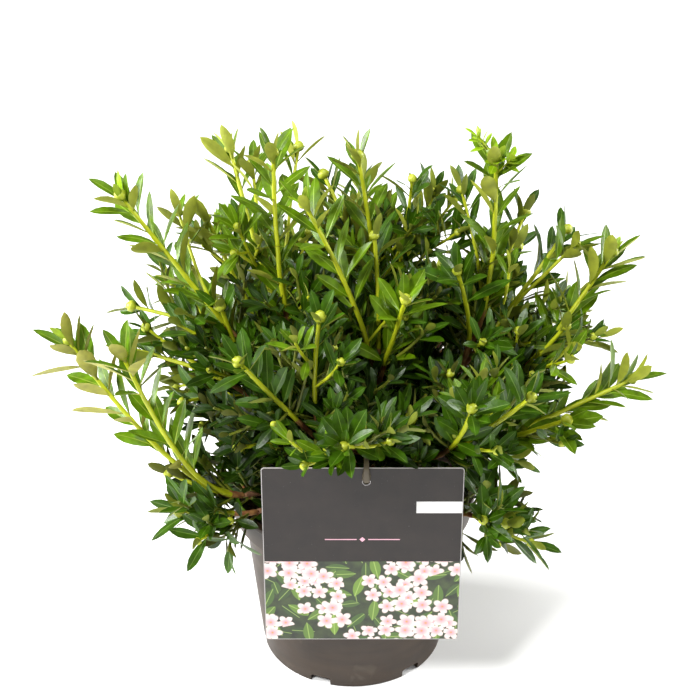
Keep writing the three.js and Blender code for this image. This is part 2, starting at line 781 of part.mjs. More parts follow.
function massSolid(mass, masses, limbSegments) {
  const isOwn = ownSpace(mass, masses, limbSegments);
  const twigs = mass.twigs.map((twig) => limbGeometry(twig));
  const leaves = growLeaves(mass, isOwn).map(spindleGeometry);
  const bud = spindleGeometry(budAt(mass.twigs[0]));
  const solids = [...twigs, ...leaves, bud].map(solidFrom);
  return mainBody(solids.reduce((whole, solid) => whole.add(solid)));
}

// ---------------------------------------------------------------- the whole plant

function addPiece(group, name, solid, material) {
  const mesh = new THREE.Mesh(geometryFrom(solid), material);
  mesh.name = name;
  group.add(mesh);
}

function buildPlant() {
  const group = new THREE.Group();
  addPiece(group, "pot", potSolid(), paint(COLOURS.pot, 0.45));
  addPiece(group, "root_ball", rootBallSolid(), paint(COLOURS.soil, 0.95));
  addPiece(group, "label_card", labelSolid(), paint(COLOURS.label, 0.35));
  addPiece(group, "label_stake", stakeSolid(), paint(COLOURS.stake, 0.5));

  const { limbs, parents } = growLimbs();
  for (const [name, limb] of Object.entries(limbs)) {
    const whole = solidFrom(limbGeometry(limb));
    const parent = parents[name] ? solidFrom(limbGeometry(limbs[parents[name]], GAP)) : null;
    addPiece(group, name, parent ? mainBody(whole.subtract(parent)) : whole, paint(COLOURS.bark, 0.85));
  }

  const limbSegments = Object.values(limbs).flatMap(segmentsOf);
  const masses = growLeaders(limbs);
  masses.forEach((mass) => growSideShoots(mass, masses, limbSegments));
  masses.forEach((mass, i) => {
    const colour = COLOURS.foliage[i % COLOURS.foliage.length];
    addPiece(group, mass.name, massSolid(mass, masses, limbSegments), paint(colour, 0.45));
  });
  return group;
}

export default buildPlant();
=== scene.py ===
"""A potted evergreen shrub: a dense mound of long leafy shoots on a short woody stem, in a round
nursery pot with a plain hanging label on a stake.

Meshes are in metres. The growth rule works in millimetres, as the part's own sizes do: its
tables and draws are those of the solids, so stems and boughs lie where the solids have them, and
it is carried on to finer shoots inside the same reach.
"""

import math

import bmesh
import bpy
import numpy as np
from mathutils import Matrix, Vector, noise


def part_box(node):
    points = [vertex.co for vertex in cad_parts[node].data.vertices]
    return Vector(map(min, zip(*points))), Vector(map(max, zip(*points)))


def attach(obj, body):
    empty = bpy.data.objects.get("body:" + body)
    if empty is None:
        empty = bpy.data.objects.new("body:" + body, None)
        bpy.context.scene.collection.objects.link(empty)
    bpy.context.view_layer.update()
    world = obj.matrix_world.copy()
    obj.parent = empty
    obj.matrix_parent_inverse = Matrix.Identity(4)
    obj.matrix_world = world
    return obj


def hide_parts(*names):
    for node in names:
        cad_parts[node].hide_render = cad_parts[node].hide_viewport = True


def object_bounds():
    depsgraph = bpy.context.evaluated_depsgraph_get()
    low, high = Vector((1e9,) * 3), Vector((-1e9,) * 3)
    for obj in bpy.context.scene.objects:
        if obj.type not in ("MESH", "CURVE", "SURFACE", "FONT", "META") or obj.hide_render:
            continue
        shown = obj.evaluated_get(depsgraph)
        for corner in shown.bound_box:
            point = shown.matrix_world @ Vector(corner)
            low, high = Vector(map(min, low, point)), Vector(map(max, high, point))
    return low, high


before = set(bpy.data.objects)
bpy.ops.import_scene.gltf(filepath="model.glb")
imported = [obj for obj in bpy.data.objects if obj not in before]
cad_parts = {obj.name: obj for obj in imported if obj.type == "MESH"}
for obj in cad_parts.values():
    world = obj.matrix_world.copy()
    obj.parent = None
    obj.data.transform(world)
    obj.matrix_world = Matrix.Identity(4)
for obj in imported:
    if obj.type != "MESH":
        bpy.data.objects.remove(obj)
cad_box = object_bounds()

MM = 0.001

# ---------------------------------------------------------------- sizes read from the frame, in mm


def box_mm(node):
    low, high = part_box(node)
    return low / MM, high / MM


_, POT_HIGH = box_mm("pot")
LABEL_LOW, LABEL_HIGH = box_mm("label_card")
STAKE_LOW, STAKE_HIGH = box_mm("label_stake")
SOIL_LOW, SOIL_HIGH = box_mm("root_ball")
CROWN_LOW, CROWN_HIGH = (Vector(corner) / MM for corner in cad_box)

# ---------------------------------------------------------------- driving dimensions, in mm

GAP = 0.3
SOIL_TOP = 155
POT = {
    "base_radius": 82,
    "shoulder_radius": 96.5,
    "band_bottom_radius": 106.5,
    "rim_radius": 110,
    "band_height": 26,
    "wall": 1.4,
    "floor": 1.6,
    "lip": 2.6,
    "lip_depth": 3,
    "drains": 6,
    "drain_width": 18.5,
    "drain_height": 8,
    "drain_depth": 14,
    "first_drain": 249.5,
    "drain_corner": 1.6,
    "sides": 120,
    "rounding": 0.9,
    "crease": 38,
}
FOOT_CHAMFER = (0.4, 0.8)
BAND_STEP = {"below": 2, "out": 0.3, "up": 0.6}  # the pot's wall steps out under its band
RIM_BEAD = {"foot": 5, "top": 4.2, "share": 0.86, "in": 0.4}  # a bead round the band's upper edge
LABEL_SLOPE = 0.55  # leaves hang no lower than this slope before the label's face

TRUNK = {"start": (-6, 4), "lean": (4, 2), "top": 215, "foot": 7.2, "fork": 5.2, "flare": 3.6}
FLARE_SHARE = 0.12
BOUGH = {"base": 4, "tip": 2.2, "parent_share": 0.75, "out": 0.5, "up": 0.3}
LEADER = {"root": 0.9, "radius": 1.9, "tip": 1.3, "swell": 0.07, "turn": 0.3}
CAP_OFFSET = {1: 0, 2: 1.15, 3: 1.25}
SIDE_SHOOT = {"root": 0.8, "radius": 1.4, "tip": 1.0, "swell": 0.5, "lift": 0.16, "turn": 0.5,
              "on": 0.95}
SIDE_LENGTH = (52, 80)
SIDE_ZONE = (0.36, 0.74)
SIDE_SPREAD = (38, 58)
SIDE_LONGER, SIDE_SHORTER = 1.15, 0.5  # at a leader's root, and how much that loses towards its tip
SIDE_TRIES = 8
GOLDEN_ANGLE = math.radians(137.5)
LIMB_STEPS = {"trunk": 6, "bough": 5, "leader": 5, "side": 2}

TWIG_MARGIN = 9
LIMB_MARGIN = 1.6

# Boughs: name, parent, share of the parent's length, then azimuth, reach and height of the tip.
BOUGHS = [
    ("bough_bottom_left", "trunk", 0.14, 220, 104, 184),
    ("bough_bottom_right", "trunk", 0.14, 321, 112, 186),
    ("bough_low_left", "trunk", 0.3, 213, 110, 196),
    ("bough_back_right", "trunk", 0.32, 46, 90, 240),
    ("bough_back_left", "trunk", 0.45, 142, 75, 245),
    ("bough_low_right", "trunk", 0.46, 350, 100, 215),
    ("bough_front_right", "trunk", 0.6, 318, 76, 225),
    ("bough_front_left", "trunk", 0.7, 240, 50, 236),
    ("bough_back", "trunk", 0.62, 94, 75, 240),
    ("bough_tall_right", "trunk", 0.76, 2, 86, 275),
    ("bough_centre", "trunk", 0.86, 311, 26, 265),
    ("bough_top_back", "trunk", 0.9, 63, 42, 280),
    ("bough_top_left", "trunk", 0.92, 180, 38, 270),
    ("bough_mid_left", "bough_low_left", 0.4, 180, 75, 236),
    ("bough_front", "bough_front_left", 0.3, 270, 60, 240),
    ("bough_upper_right", "bough_tall_right", 0.35, 357, 105, 250),
    ("bough_upper_left", "bough_top_left", 0.35, 177, 72, 278),
]

# Foliage masses: name, bough, then azimuth, reach and height of the leading tip, and side shoots.
MASSES = [
    ("foliage_far_left", "bough_low_left", 190, 235, 335, 4),
    ("foliage_left_front", "bough_low_left", 209, 205, 357, 3),
    ("foliage_low_left", "bough_low_left", 200, 172, 222, 1),
    ("foliage_left", "bough_mid_left", 171, 190, 285, 3),
    ("foliage_inner_left", "bough_mid_left", 190, 110, 355, 3),
    ("foliage_upper_left", "bough_upper_left", 180, 185, 446, 4),
    ("foliage_high_back_left", "bough_back_left", 142, 160, 375, 2),
    ("foliage_far_back_left", "bough_back_left", 156, 225, 295, 2),
    ("foliage_back_left", "bough_back_left", 125, 210, 320, 2),
    ("foliage_top_left", "bough_top_left", 142, 130, 450, 3),
    ("foliage_crown_left", "bough_top_left", 180, 63, 484, 4),
    ("foliage_top", "bough_top_back", 86, 70, 448, 3),
    ("foliage_top_back", "bough_top_back", 103, 130, 415, 2),
    ("foliage_top_right", "bough_top_back", 49, 105, 410, 3),
    ("foliage_leaning", "bough_centre", 228, 55, 460, 3),
    ("foliage_centre", "bough_centre", 332, 20, 415, 2),
    ("foliage_centre_front", "bough_centre", 301, 80, 390, 2),
    ("foliage_tall_right", "bough_tall_right", 5, 115, 475, 4),
    ("foliage_high_right", "bough_tall_right", 18, 190, 385, 3),
    ("foliage_centre_right", "bough_tall_right", 340, 90, 395, 3),
    ("foliage_upper_right", "bough_upper_right", 5, 215, 385, 3),
    ("foliage_mid_right", "bough_upper_right", 356, 176, 332, 2),
    ("foliage_far_right", "bough_low_right", 353, 233, 291, 4),
    ("foliage_low_right", "bough_low_right", 335, 190, 285, 2),
    ("foliage_right_front", "bough_front_right", 316, 190, 340, 3),
    ("foliage_front_right", "bough_front_right", 299, 185, 350, 3),
    ("foliage_front", "bough_front", 268, 175, 325, 3),
    ("foliage_front_low", "bough_front", 294, 110, 300, 2),
    ("foliage_front_left", "bough_front_left", 236, 155, 370, 3),
    ("foliage_inner_front_left", "bough_front_left", 226, 130, 268, 2),
    ("foliage_inner_front", "bough_front_left", 252, 85, 380, 2),
    ("foliage_bottom_left", "bough_bottom_left", 213, 168, 202, 2),
    ("foliage_bottom_right", "bough_bottom_right", 320, 163, 200, 2),
    ("foliage_back_top", "bough_back", 88, 215, 355, 2),
    ("foliage_back_low", "bough_back", 100, 195, 236, 2),
    ("foliage_back_right", "bough_back_right", 45, 220, 325, 2),
    ("foliage_far_back_right", "bough_back_right", 25, 235, 290, 2),
    ("foliage_low_back_right", "bough_back_right", 66, 205, 262, 1),
]

MASS_NAMES = [mass[0] for mass in MASSES]

# Longer shoots between the leaders: the leader each grows from, the share of its length there, then
# azimuth, reach and height of the tip.
SECOND_LEADERS = [
    ("foliage_top_left", 0.45, 144, 103, 447),
    ("foliage_crown_left", 0.4, 127, 75, 461),
    ("foliage_crown_left", 0.35, 130, 39, 462),
    ("foliage_top", 0.4, 66, 66, 441),
    ("foliage_top_right", 0.4, 39, 63, 443),
    ("foliage_tall_right", 0.35, 24, 99, 432),
    ("foliage_tall_right", 0.3, 16, 149, 411),
    ("foliage_high_right", 0.45, 9, 188, 388),
    ("foliage_upper_left", 0.4, 158, 158, 401),
    ("foliage_left", 0.5, 173, 176, 311),
    ("foliage_left", 0.15, 188, 143, 264),
    ("foliage_left", 0.1, 193, 129, 247),
    ("foliage_centre", 0.2, 12, 50, 275),
    ("foliage_centre_front", 0.2, 342, 66, 278),
]
# What sets a leader apart. Beyond the share free_from of its length it stands free, with leaves
# only; its stem shows from the front from shows_from on; and its leaves begin at leafy_from. A
# leaf_gap is in times the rule's spacing, a young tip ends in young leaves, and pale_under leaves
# stand before the stem and show their undersides.
LEADER_TRAITS = {
    "foliage_far_left": {"free_from": 0.14, "shows_from": 0.1, "leafy_from": 0.42, "leaf_gap": 1.6,
                         "young": True, "pale_under": True},
    "foliage_left_front": {"free_from": 0.14, "shows_from": 0.1, "leafy_from": 0.36, "leaf_gap": 1.4,
                           "pale_under": True},
    "foliage_low_left": {"free_from": 0.6},
    "foliage_left": {"free_from": 0.6, "shows_from": 0.3},
    "foliage_upper_left": {"free_from": 0.42, "shows_from": 0.35, "leaf_gap": 0.8, "young": True},
    "foliage_top_left": {"free_from": 0.6, "young": True},
    "foliage_crown_left": {"free_from": 0.5, "shows_from": 0.4},
    "foliage_top": {"free_from": 0.65, "shows_from": 0.7},
    "foliage_top_right": {"young": True},
    "foliage_leaning": {"free_from": 0.45, "shows_from": 0.3, "young": True},
    "foliage_centre": {"free_from": 0.6, "shows_from": 0.45},
    "foliage_centre_front": {"free_from": 0.6, "shows_from": 0.3},
    "foliage_tall_right": {"free_from": 0.5, "shows_from": 0.25, "leaf_gap": 0.7, "young": True},
    "foliage_high_right": {"free_from": 0.6, "shows_from": 0.6, "leaf_gap": 0.6},
    "foliage_centre_right": {"free_from": 0.65, "shows_from": 0.3},
    "foliage_upper_right": {"free_from": 0.55, "shows_from": 0.45, "leaf_gap": 0.6, "young": True},
    "foliage_far_right": {"free_from": 0.5, "shows_from": 0.4, "leaf_gap": 0.8},
    "foliage_right_front": {"shows_from": 0.4},
    "foliage_front_right": {"free_from": 0.6, "shows_from": 0.12},
    "foliage_front_left": {"free_from": 0.6, "shows_from": 0.12},
    "foliage_inner_front": {"shows_from": 0.4},
}
# A shown stem keeps clear of leaves for half_width pixels and of shoots for room pixels, where they
# lie more than `before` mm nearer; `share` of such leaves go, up to the share `end` of its length.
STEM_VIEW = {"half_width": 4, "room": 6, "before": 3, "share": 0.8, "end": 0.86, "steps": 40}
LEAF_SPINE = (0.15, 0.4, 0.6, 0.8, 1)  # where along it a leaf is tested for that
OLD_WOOD = 0.9  # of the part of a leader that doesn't stand free
CUTS = [0, *(i / 20 for i in range(6, 21))]  # where a leader may end, lest its tip stand in the sky
CUT_CLEARANCE = 1.5  # times each gap's radius

# Finer shoots, which the solids go without: where they stand on their parent, how far apart or how
# many, and their length, angle, lift, room and tries. The hanging ones are fine shoots too.
FINER_SHOOTS = {
    "fine": {"kind": "fine", "zone": (0.06, 0.82), "spacing": 15, "length": (26, 52),
             "spread": (30, 58), "lift": 0.2, "margin": 3.5, "tries": 5},
    "twin": {"kind": "twin", "zone": (0.3, 0.7), "each": 3, "length": (20, 32),
             "spread": (34, 54), "lift": 0.2, "margin": 3, "tries": 4},
    "hanging": {"kind": "fine", "zone": (0.1, 0.6), "each": 4, "length": (24, 38),
                "spread": (50, 75), "lift": -0.3, "margin": 3, "tries": 8},
    "inner": {"kind": "inner", "zone": (0.25, 1), "spacing": 8, "length": (40, 76),
              "spread": (40, 74), "lift": 0.3, "margin": 3, "tries": 6},
}
FINER_STAGGER = (0.2, 0.6)  # where in its step a finer shoot stands at least, and how it varies
FINER_INSIDE = Vector((4, 4, 4))  # its tip stays this far inside the solids' box
FINER_CLEAR = 3  # from the pot, the label and the stake
LOW_MASSES = ("foliage_bottom_left", "foliage_bottom_right")  # these have hanging shoots
LOW_LEAF_SIZE, LOW_LEAF_GAP = 1.15, 1.4  # times the rule's, on the shoots of these two
LOW_TWINS = 1

CAMERA = {"place": (-2.2, -1300, 1100), "down": 31.5, "lens": 92.7, "sensor": 36}
VIEW_PIXELS = 700

# Where the front view is free of shoots and leaf tips: pixels across and down, and a radius.
SKY = {
    "left_of_top_left_shoots": (170, 172, 24),
    "beside_top_left_shoots": (197, 178, 20),
    "above_back_left_shoots": (182, 208, 8),
    "behind_upper_left_shoot": (196, 251, 9),
    "at_foot_of_upper_left_shoot": (205, 278, 9),
    "under_upper_left_shoot": (102, 290, 22),
    "over_left_shoots": (160, 317, 12),
    "under_far_left_shoot": (78, 446, 34),
    "left_of_low_left_shoots": (124, 472, 29),
    "over_bottom_left_shoot": (160, 487, 9),
    "over_low_left_leaves": (190, 492, 8),
    "left_of_pot_rim": (215, 498, 7),
    "under_bottom_left_shoot": (172, 548, 24),
    "left_of_pot": (207, 560, 17),
    "between_left_tips": (100, 338, 7),
    "right_of_crown_left_tip": (312, 132, 14),
    "left_of_top_shoot": (332, 146, 9),
    "right_of_top_shoot": (385, 143, 14),
    "over_top_right_shoot": (413, 151, 17),
    "left_of_tall_shoot": (443, 149, 19),
    "under_tall_left_leaves": (463, 194, 8),
    "between_crown_and_top": (317, 158, 9),
    "beside_top_tip": (372, 152, 9),
    "beside_crown_left_tip": (247, 132, 7),
    "right_of_tall_shoot": (545, 212, 14),
    "beside_tall_shoot": (530, 284, 12),
    "over_high_right_shoot": (585, 215, 13),
    "between_high_right_shoots": (588, 258, 8),
    "over_far_right_shoot": (616, 306, 23),
    "left_of_far_right_tip": (592, 351, 7),
    "over_low_right_shoot": (581, 371, 14),
    "under_far_right_tip": (641, 425, 20),
    "under_far_right_shoot": (606, 446, 26),
    "right_of_low_right_shoots": (572, 468, 22),
    "right_of_bottom_right_shoot": (548, 486, 22),
    "under_bottom_right_shoot": (512, 563, 17),
    "right_of_label": (488, 582, 16),
    "under_low_left_stems": (134, 455, 15),
    "between_low_left_stems": (188, 445, 6),
    "beside_low_left_stem": (210, 442, 8),
    "over_left_shoot": (152, 318, 7),
    "beside_upper_left_shoot": (205, 262, 9),
    "under_mid_right_shoot": (585, 352, 6),
    "right_of_front_right": (548, 455, 9),
    "left_of_bottom_right": (508, 478, 8),
    "left_of_bottom_left_tip": (120, 512, 24),
    "over_tall_side_shoots": (532, 254, 11),
    "under_high_right_shoot": (575, 264, 6),
    "behind_back_left": (233, 265, 6),
    "left_of_back_left": (216, 286, 6),
    "before_stake_tongue": (367, 476, 11),
}

# The seeds of the random draws: one for each kind, to which a mass or shoot adds its number.
SEEDS = {"side": 1, "fine": 501, "inner": 901, "leaves": 2001, "buds": 7001,
         "fresh": 77, "chips": 88, "chip_shape": 41, "sway": 3}

# ---------------------------------------------------------------- colours (sRGB), as dealt out

COLOURS = {
    "pot": "281d12",
    "pot_light": "352719",
    "pot_dust": "a39a89",
    "soil": "2c2019",
    "soil_light": "4a3627",
    "chip": "5a4029",
    "card": "211d1c",
    "card_light": "2b2523",
    "card_speck": "9a9395",
    "card_edge": "a5a1a0",
    "strip": "d9d7d6",
    "rule": "d9a3b4",
    "picture_dark": "171d12",
    "picture_light": "35431f",
    "petal_heart": "c98a3f",
    "petal_inner": "c8949e",
    "petal_outer": "e4d2cc",
    "petal_crease": "b98a8e",
    "printed_rib": "a5bd62",
    "stake": "524732",
    "bark": "6b4630",
    "bark_light": "8d6a48",
    "wood": "7a4526",
    "wood_light": "a97c45",
    "shoot": "9ca60c",
    "shoot_light": "b4bb16",
    # stems inside the crown: a darker green that paints the shade among the leaves
    "dull_shoot": "5a6414",
    "dull_shoot_light": "70781e",
    "bud": "8f9a1c",
    "bud_light": "b3bb34",
    "floor": "f6f6f5",
}
# Leaf tones, dealt out shoot by shoot: upper side, rib and lower side.
LEAF_TONES = {
    "deep": ("1b3003", "384f10", "585e17"),
    "middle": ("2d4a03", "516f16", "747f1e"),
    "olive": ("4c6804", "769020", "929a2c"),
    "khaki": ("4c6a04", "74861e", "9e9c40"),
    "young": ("7e9e10", "a0bc2e", "9cb426"),
}
FULL_TURN = 6.28  # near enough for a random angle, in radians


def linear(code):
    """An sRGB hex colour as linear RGBA."""
    parts = [int(code[i : i + 2], 16) / 255 for i in (0, 2, 4)]
    return (*[p / 12.92 if p <= 0.04045 else ((p + 0.055) / 1.055) ** 2.4 for p in parts], 1.0)


# ---------------------------------------------------------------- small helpers


def random_from(seed):
    """Repeatable random numbers between 0 and 1, from a whole-number seed."""
    state = (seed * 7919 + 12345) % 2**32

    def draw():
        nonlocal state
        state = (state * 1664525 + 1013904223) % 2**32
        return state / 2**32

    return draw


def lerp(a, b, t):
    return a + (b - a) * t


def heading(azimuth):
    angle = math.radians(azimuth)
    return Vector((math.cos(angle), math.sin(angle), 0))


def tip_at(azimuth, reach, height):
    return heading(azimuth) * reach + Vector((0, 0, height))


def off_axis(vector, axis):
    """The part of a vector that is square to an axis, as a unit vector."""
    return (vector - vector.dot(axis) * axis).normalized()


# ---------------------------------------------------------------- the growth rule


class Curve:
    """A quadratic curve from a start, towards a turn, to an end."""

    def __init__(self, start, turn, end):
        self.start, self.turn, self.end = start, turn, end

    def point(self, t):
        return self.start * (1 - t) ** 2 + self.turn * (2 * t * (1 - t)) + self.end * t**2

    def direction(self, t):
        slope = (self.turn - self.start) * (1 - t) + (self.end - self.turn) * t
        return slope.normalized()

    def points(self, steps):
        return [self.point(i / steps) for i in range(steps + 1)]

    def cut(self, t):
        """The curve's first part."""
        return Curve(self.start, self.start.lerp(self.turn, t), self.point(t))

    def length(self):
        ends = self.points(40)
        return sum((b - a).length for a, b in zip(ends, ends[1:]))

    def frame(self, t):
        """Point, direction and two cross directions that never twist."""
        along = self.direction(t)
        plane = (self.turn - self.start).cross(self.end - self.start)
        if plane.length > 1e-3:
            side = plane.normalized()
        else:
            helper = Vector((0, 0, 1)) if abs(along.z) < 0.9 else Vector((1, 0, 0))
            side = helper.cross(along).normalized()
        across = side.cross(along).normalized()
        return self.point(t), along, across, across.cross(along)


class Limb:
    """A tapering stem: its curve, its radius along it, how finely its length is tested, its kind
    and its leaves' tone, and what sets it apart."""

    def __init__(self, curve, radius_at, steps, kind, tone="deep", free_from=1, leafy_from=0,
                 shows_from=1, leaf_gap=1, leaf_size=1, young=False, pale_under=False):
        self.curve, self.radius_at, self.steps = curve, radius_at, steps
        self.kind, self.tone, self.shown = kind, tone, True
        self.free_from, self.leafy_from, self.shows_from = free_from, leafy_from, shows_from
        self.leaf_gap, self.leaf_size = leaf_gap, leaf_size
        self.young, self.pale_under = young, pale_under

    def segments(self):
        ends = self.curve.points(self.steps)
        radii = [self.radius_at((i + 0.5) / self.steps) for i in range(self.steps)]
        return [(a, b - a, r) for a, b, r in zip(ends, ends[1:], radii)]


class Segments:
    """Straight stretches of stems, for measuring how far points lie from them."""

    def __init__(self, rows=()):
        self.rows = list(rows)
        self.arrays = None

    def add(self, rows):
        self.rows.extend(rows)
        self.arrays = None

    def distances(self, points):
        if self.arrays is None:
            starts, spans, radii = zip(*self.rows)
            self.arrays = np.array(starts), np.array(spans), np.array(radii)
        starts, spans, _ = self.arrays
        away = np.asarray(points)[:, None, :] - starts[None]
        share = np.clip((away * spans).sum(-1) / (spans**2).sum(-1), 0, 1)
        return np.linalg.norm(away - share[..., None] * spans, axis=-1)

    def nearest(self, points):
        return self.distances(points).min(axis=1)

    def touched(self, points, margin):
        return (self.distances(points) < self.arrays[2] + margin).any(axis=1)


def touches_things(points, margin=LIMB_MARGIN):
    """Which points lie in or too near the pot, the label, the space before its face or the stake."""
    x, y, z = np.asarray(points).T
    pot = (z < POT_HIGH.z + margin) & (np.hypot(x, y) < POT["rim_radius"] + margin)
    ahead = LABEL_HIGH.y - y
    across = (x > LABEL_LOW.x - margin) & (x < LABEL_HIGH.x + margin)
    label = across & (ahead > -margin) & (z < LABEL_HIGH.z + margin + LABEL_SLOPE * ahead)
    stake = (x > STAKE_LOW.x - margin) & (x < STAKE_HIGH.x + margin)
    stake &= (y < STAKE_HIGH.y + margin) & (y > STAKE_LOW.y - margin) & (z < STAKE_HIGH.z + margin)
    return pot | label | stake


def front_view(points):
    """Where points show from the front: pixels across and down, and how far ahead in mm."""
    x, y, z = (np.asarray(points) - CAMERA["place"]).T
    down, lens = math.radians(CAMERA["down"]), VIEW_PIXELS * CAMERA["lens"] / CAMERA["sensor"]
    ahead = y * math.cos(down) - z * math.sin(down)
    above = y * math.sin(down) + z * math.cos(down)
    middle = VIEW_PIXELS / 2
    return middle + lens * x / ahead, middle - lens * above / ahead, ahead


def in_sky(points, share=1.0):
    """Which points lie where the front view shows sky, in the given share of each gap's radius."""
    across, below, _ = front_view(points)
    gaps = np.array(list(SKY.values()))
    away = np.hypot(across[:, None] - gaps[:, 0], below[:, None] - gaps[:, 1])
    return (away < gaps[:, 2] * share).any(axis=1)


class StemView:
    """The leaders' stems as they show from the front."""

    def __init__(self, shoots):
        points = []
        for shoot in shoots:
            if shoot.shows_from < STEM_VIEW["end"]:
                spread = np.linspace(shoot.shows_from, STEM_VIEW["end"], STEM_VIEW["steps"])
                points += [shoot.curve.point(t) for t in spread]
        self.across, self.below, self.ahead = front_view(points)

    def hidden_by(self, points, half_width):
        across, below, ahead = front_view(points)
        away = np.hypot(across[:, None] - self.across, below[:, None] - self.below)
        before = ahead[:, None] < self.ahead - STEM_VIEW["before"]
        return (before & (away < half_width)).any()

    def hidden_by_leaf(self, leaf):
        spine = [leaf["root"] + leaf["along"] * (leaf["length"] * t) for t in LEAF_SPINE]
        return self.hidden_by(spine, STEM_VIEW["half_width"])


def trunk_limb():
    foot = Vector((*TRUNK["start"], SOIL_TOP + GAP))
    above = Vector((*TRUNK["start"], lerp(SOIL_TOP, TRUNK["top"], 0.5)))
    fork = Vector((*TRUNK["lean"], TRUNK["top"]))

    def radius_at(t):
        return lerp(TRUNK["foot"], TRUNK["fork"], t) + TRUNK["flare"] * math.exp(-t / FLARE_SHARE)

    return Limb(Curve(foot, above, fork), radius_at, LIMB_STEPS["trunk"], "trunk")


def bough_limb(parent, share, tip):
    origin = parent.curve.point(share)
    parent_radius = parent.radius_at(share)
    outwards = off_axis(tip - origin, parent.curve.direction(share))
    root = origin + outwards * parent_radius / 2
    rise = tip - root
    turn = root + Vector((rise.x * BOUGH["out"], rise.y * BOUGH["out"], rise.z * BOUGH["up"]))
    base = min(BOUGH["base"], BOUGH["parent_share"] * parent_radius)
    curve = Curve(root, turn, tip)
    return Limb(curve, lambda t: lerp(base, BOUGH["tip"], t), LIMB_STEPS["bough"], "bough")


def segments_of(limbs):
    return Segments(row for limb in limbs.values() for row in limb.segments())


def grow_limbs():
    limbs = {"trunk": trunk_limb()}
    for name, parent, share, azimuth, reach, height in BOUGHS:
        limbs[name] = bough_limb(limbs[parent], share, tip_at(azimuth, reach, height))
    return limbs


def roots_on_cap(bough, tips):
    """Where each shoot stands on its bough's end: evenly round it, each on the side it grows to."""
    point, along, across, side = bough.curve.frame(1)
    end = point + along * GAP
    angles = [math.atan2((tip - end).dot(side), (tip - end).dot(across)) for tip in tips]
    ranked = sorted(range(len(tips)), key=lambda i: angles[i])
    slots = [ranked.index(i) * 2 * math.pi / len(tips) for i in range(len(tips))]
    sines = sum(math.sin(angle - slot) for angle, slot in zip(angles, slots))
    cosines = sum(math.cos(angle - slot) for angle, slot in zip(angles, slots))
    turn = math.atan2(sines, cosines)
    offset = CAP_OFFSET[len(tips)]
    return [
        end + across * (offset * math.cos(slot + turn)) + side * (offset * math.sin(slot + turn))
        for slot in slots
    ]


def shoot_radius(sizes):
    """A narrow root that swells to full size, then tapers to the tip."""

    def radius_at(t):
        swollen = lerp(sizes["root"], sizes["radius"], min(1, t / sizes["swell"]))
        return min(swollen, lerp(sizes["radius"], sizes["tip"], t))

    return radius_at


def leader_limb(root, along, tip, traits):
    turn = root + along * (LEADER["turn"] * (tip - root).length)
    curve = Curve(root, turn, tip)
    return Limb(curve, shoot_radius(LEADER), LIMB_STEPS["leader"], "leader", **traits)


def side_limb(parent, share, turn_angle, spread, length, kind="side", lift=SIDE_SHOOT["lift"]):
    """A shoot that leaves its parent at an angle and curves upwards."""
    point, along, across, side = parent.curve.frame(share)
    outwards = across * math.cos(turn_angle) + side * math.sin(turn_angle)
    start = along * math.cos(spread) + outwards * math.sin(spread)
    turn = point + start * (length * SIDE_SHOOT["turn"])
    tip = point + start * (length * SIDE_SHOOT["on"]) + Vector((0, 0, length * lift))
    return Limb(Curve(point, turn, tip), shoot_radius(SIDE_SHOOT), LIMB_STEPS["side"], kind)


def grow_leaders(limbs):
    masses = []
    for index, (name, bough, azimuth, reach, height, side_shoots) in enumerate(MASSES):
        tip = tip_at(azimuth, reach, height)
        masses.append({"name": name, "bough": bough, "tip": tip, "side_shoots": side_shoots,
                       "index": index, "shoots": [], "segments": []})
    for bough in limbs:
        carried = [mass for mass in masses if mass["bough"] == bough]
        if not carried:
            continue
        roots = roots_on_cap(limbs[bough], [mass["tip"] for mass in carried])
        along = limbs[bough].curve.direction(1)
        for mass, root in zip(carried, roots):
            traits = LEADER_TRAITS.get(mass["name"], {})
            add_shoot(mass, leader_limb(root, along, mass["tip"], traits))
    return masses


def add_shoot(mass, shoot):
    mass["shoots"].append(shoot)
    mass["segments"].extend(shoot.segments())


def grow_side_shoots(mass, masses, limb_segments):
    """The source's side shoots: golden angle up the leader, turned on where they come too near."""
    draw = random_from(mass["index"] + SEEDS["side"])
    others = Segments(row for other in masses if other is not mass for row in other["segments"])
    leader = mass["shoots"][0]
    turn_angle = draw() * 2 * math.pi
    for i in range(mass["side_shoots"]):
        share = lerp(*SIDE_ZONE, (i + 0.5) / mass["side_shoots"])
        length = lerp(*SIDE_LENGTH, draw()) * (SIDE_LONGER - SIDE_SHORTER * share)
        spread = math.radians(lerp(*SIDE_SPREAD, draw()))
        for _ in range(SIDE_TRIES):
            turn_angle += GOLDEN_ANGLE
            shoot = side_limb(leader, share, turn_angle, spread, length)
            points = shoot.curve.points(8)[1:]
            near = (others.nearest(points) < TWIG_MARGIN).any()
            if near or limb_segments.touched(points, LIMB_MARGIN).any() or touches_things(points).any():
                continue
            shoot.shown = share <= leader.free_from and not in_sky(points[3:]).any()
            add_shoot(mass, shoot)
            break


def second_leader(parent, share, tip):
    """A longer shoot from a leader to a tip of its own."""
    point, along, _, _ = parent.curve.frame(share)
    turn = point + along * (LEADER["turn"] * (tip - point).length)
    return Limb(Curve(point, turn, tip), shoot_radius(SIDE_SHOOT), LIMB_STEPS["leader"], "second")


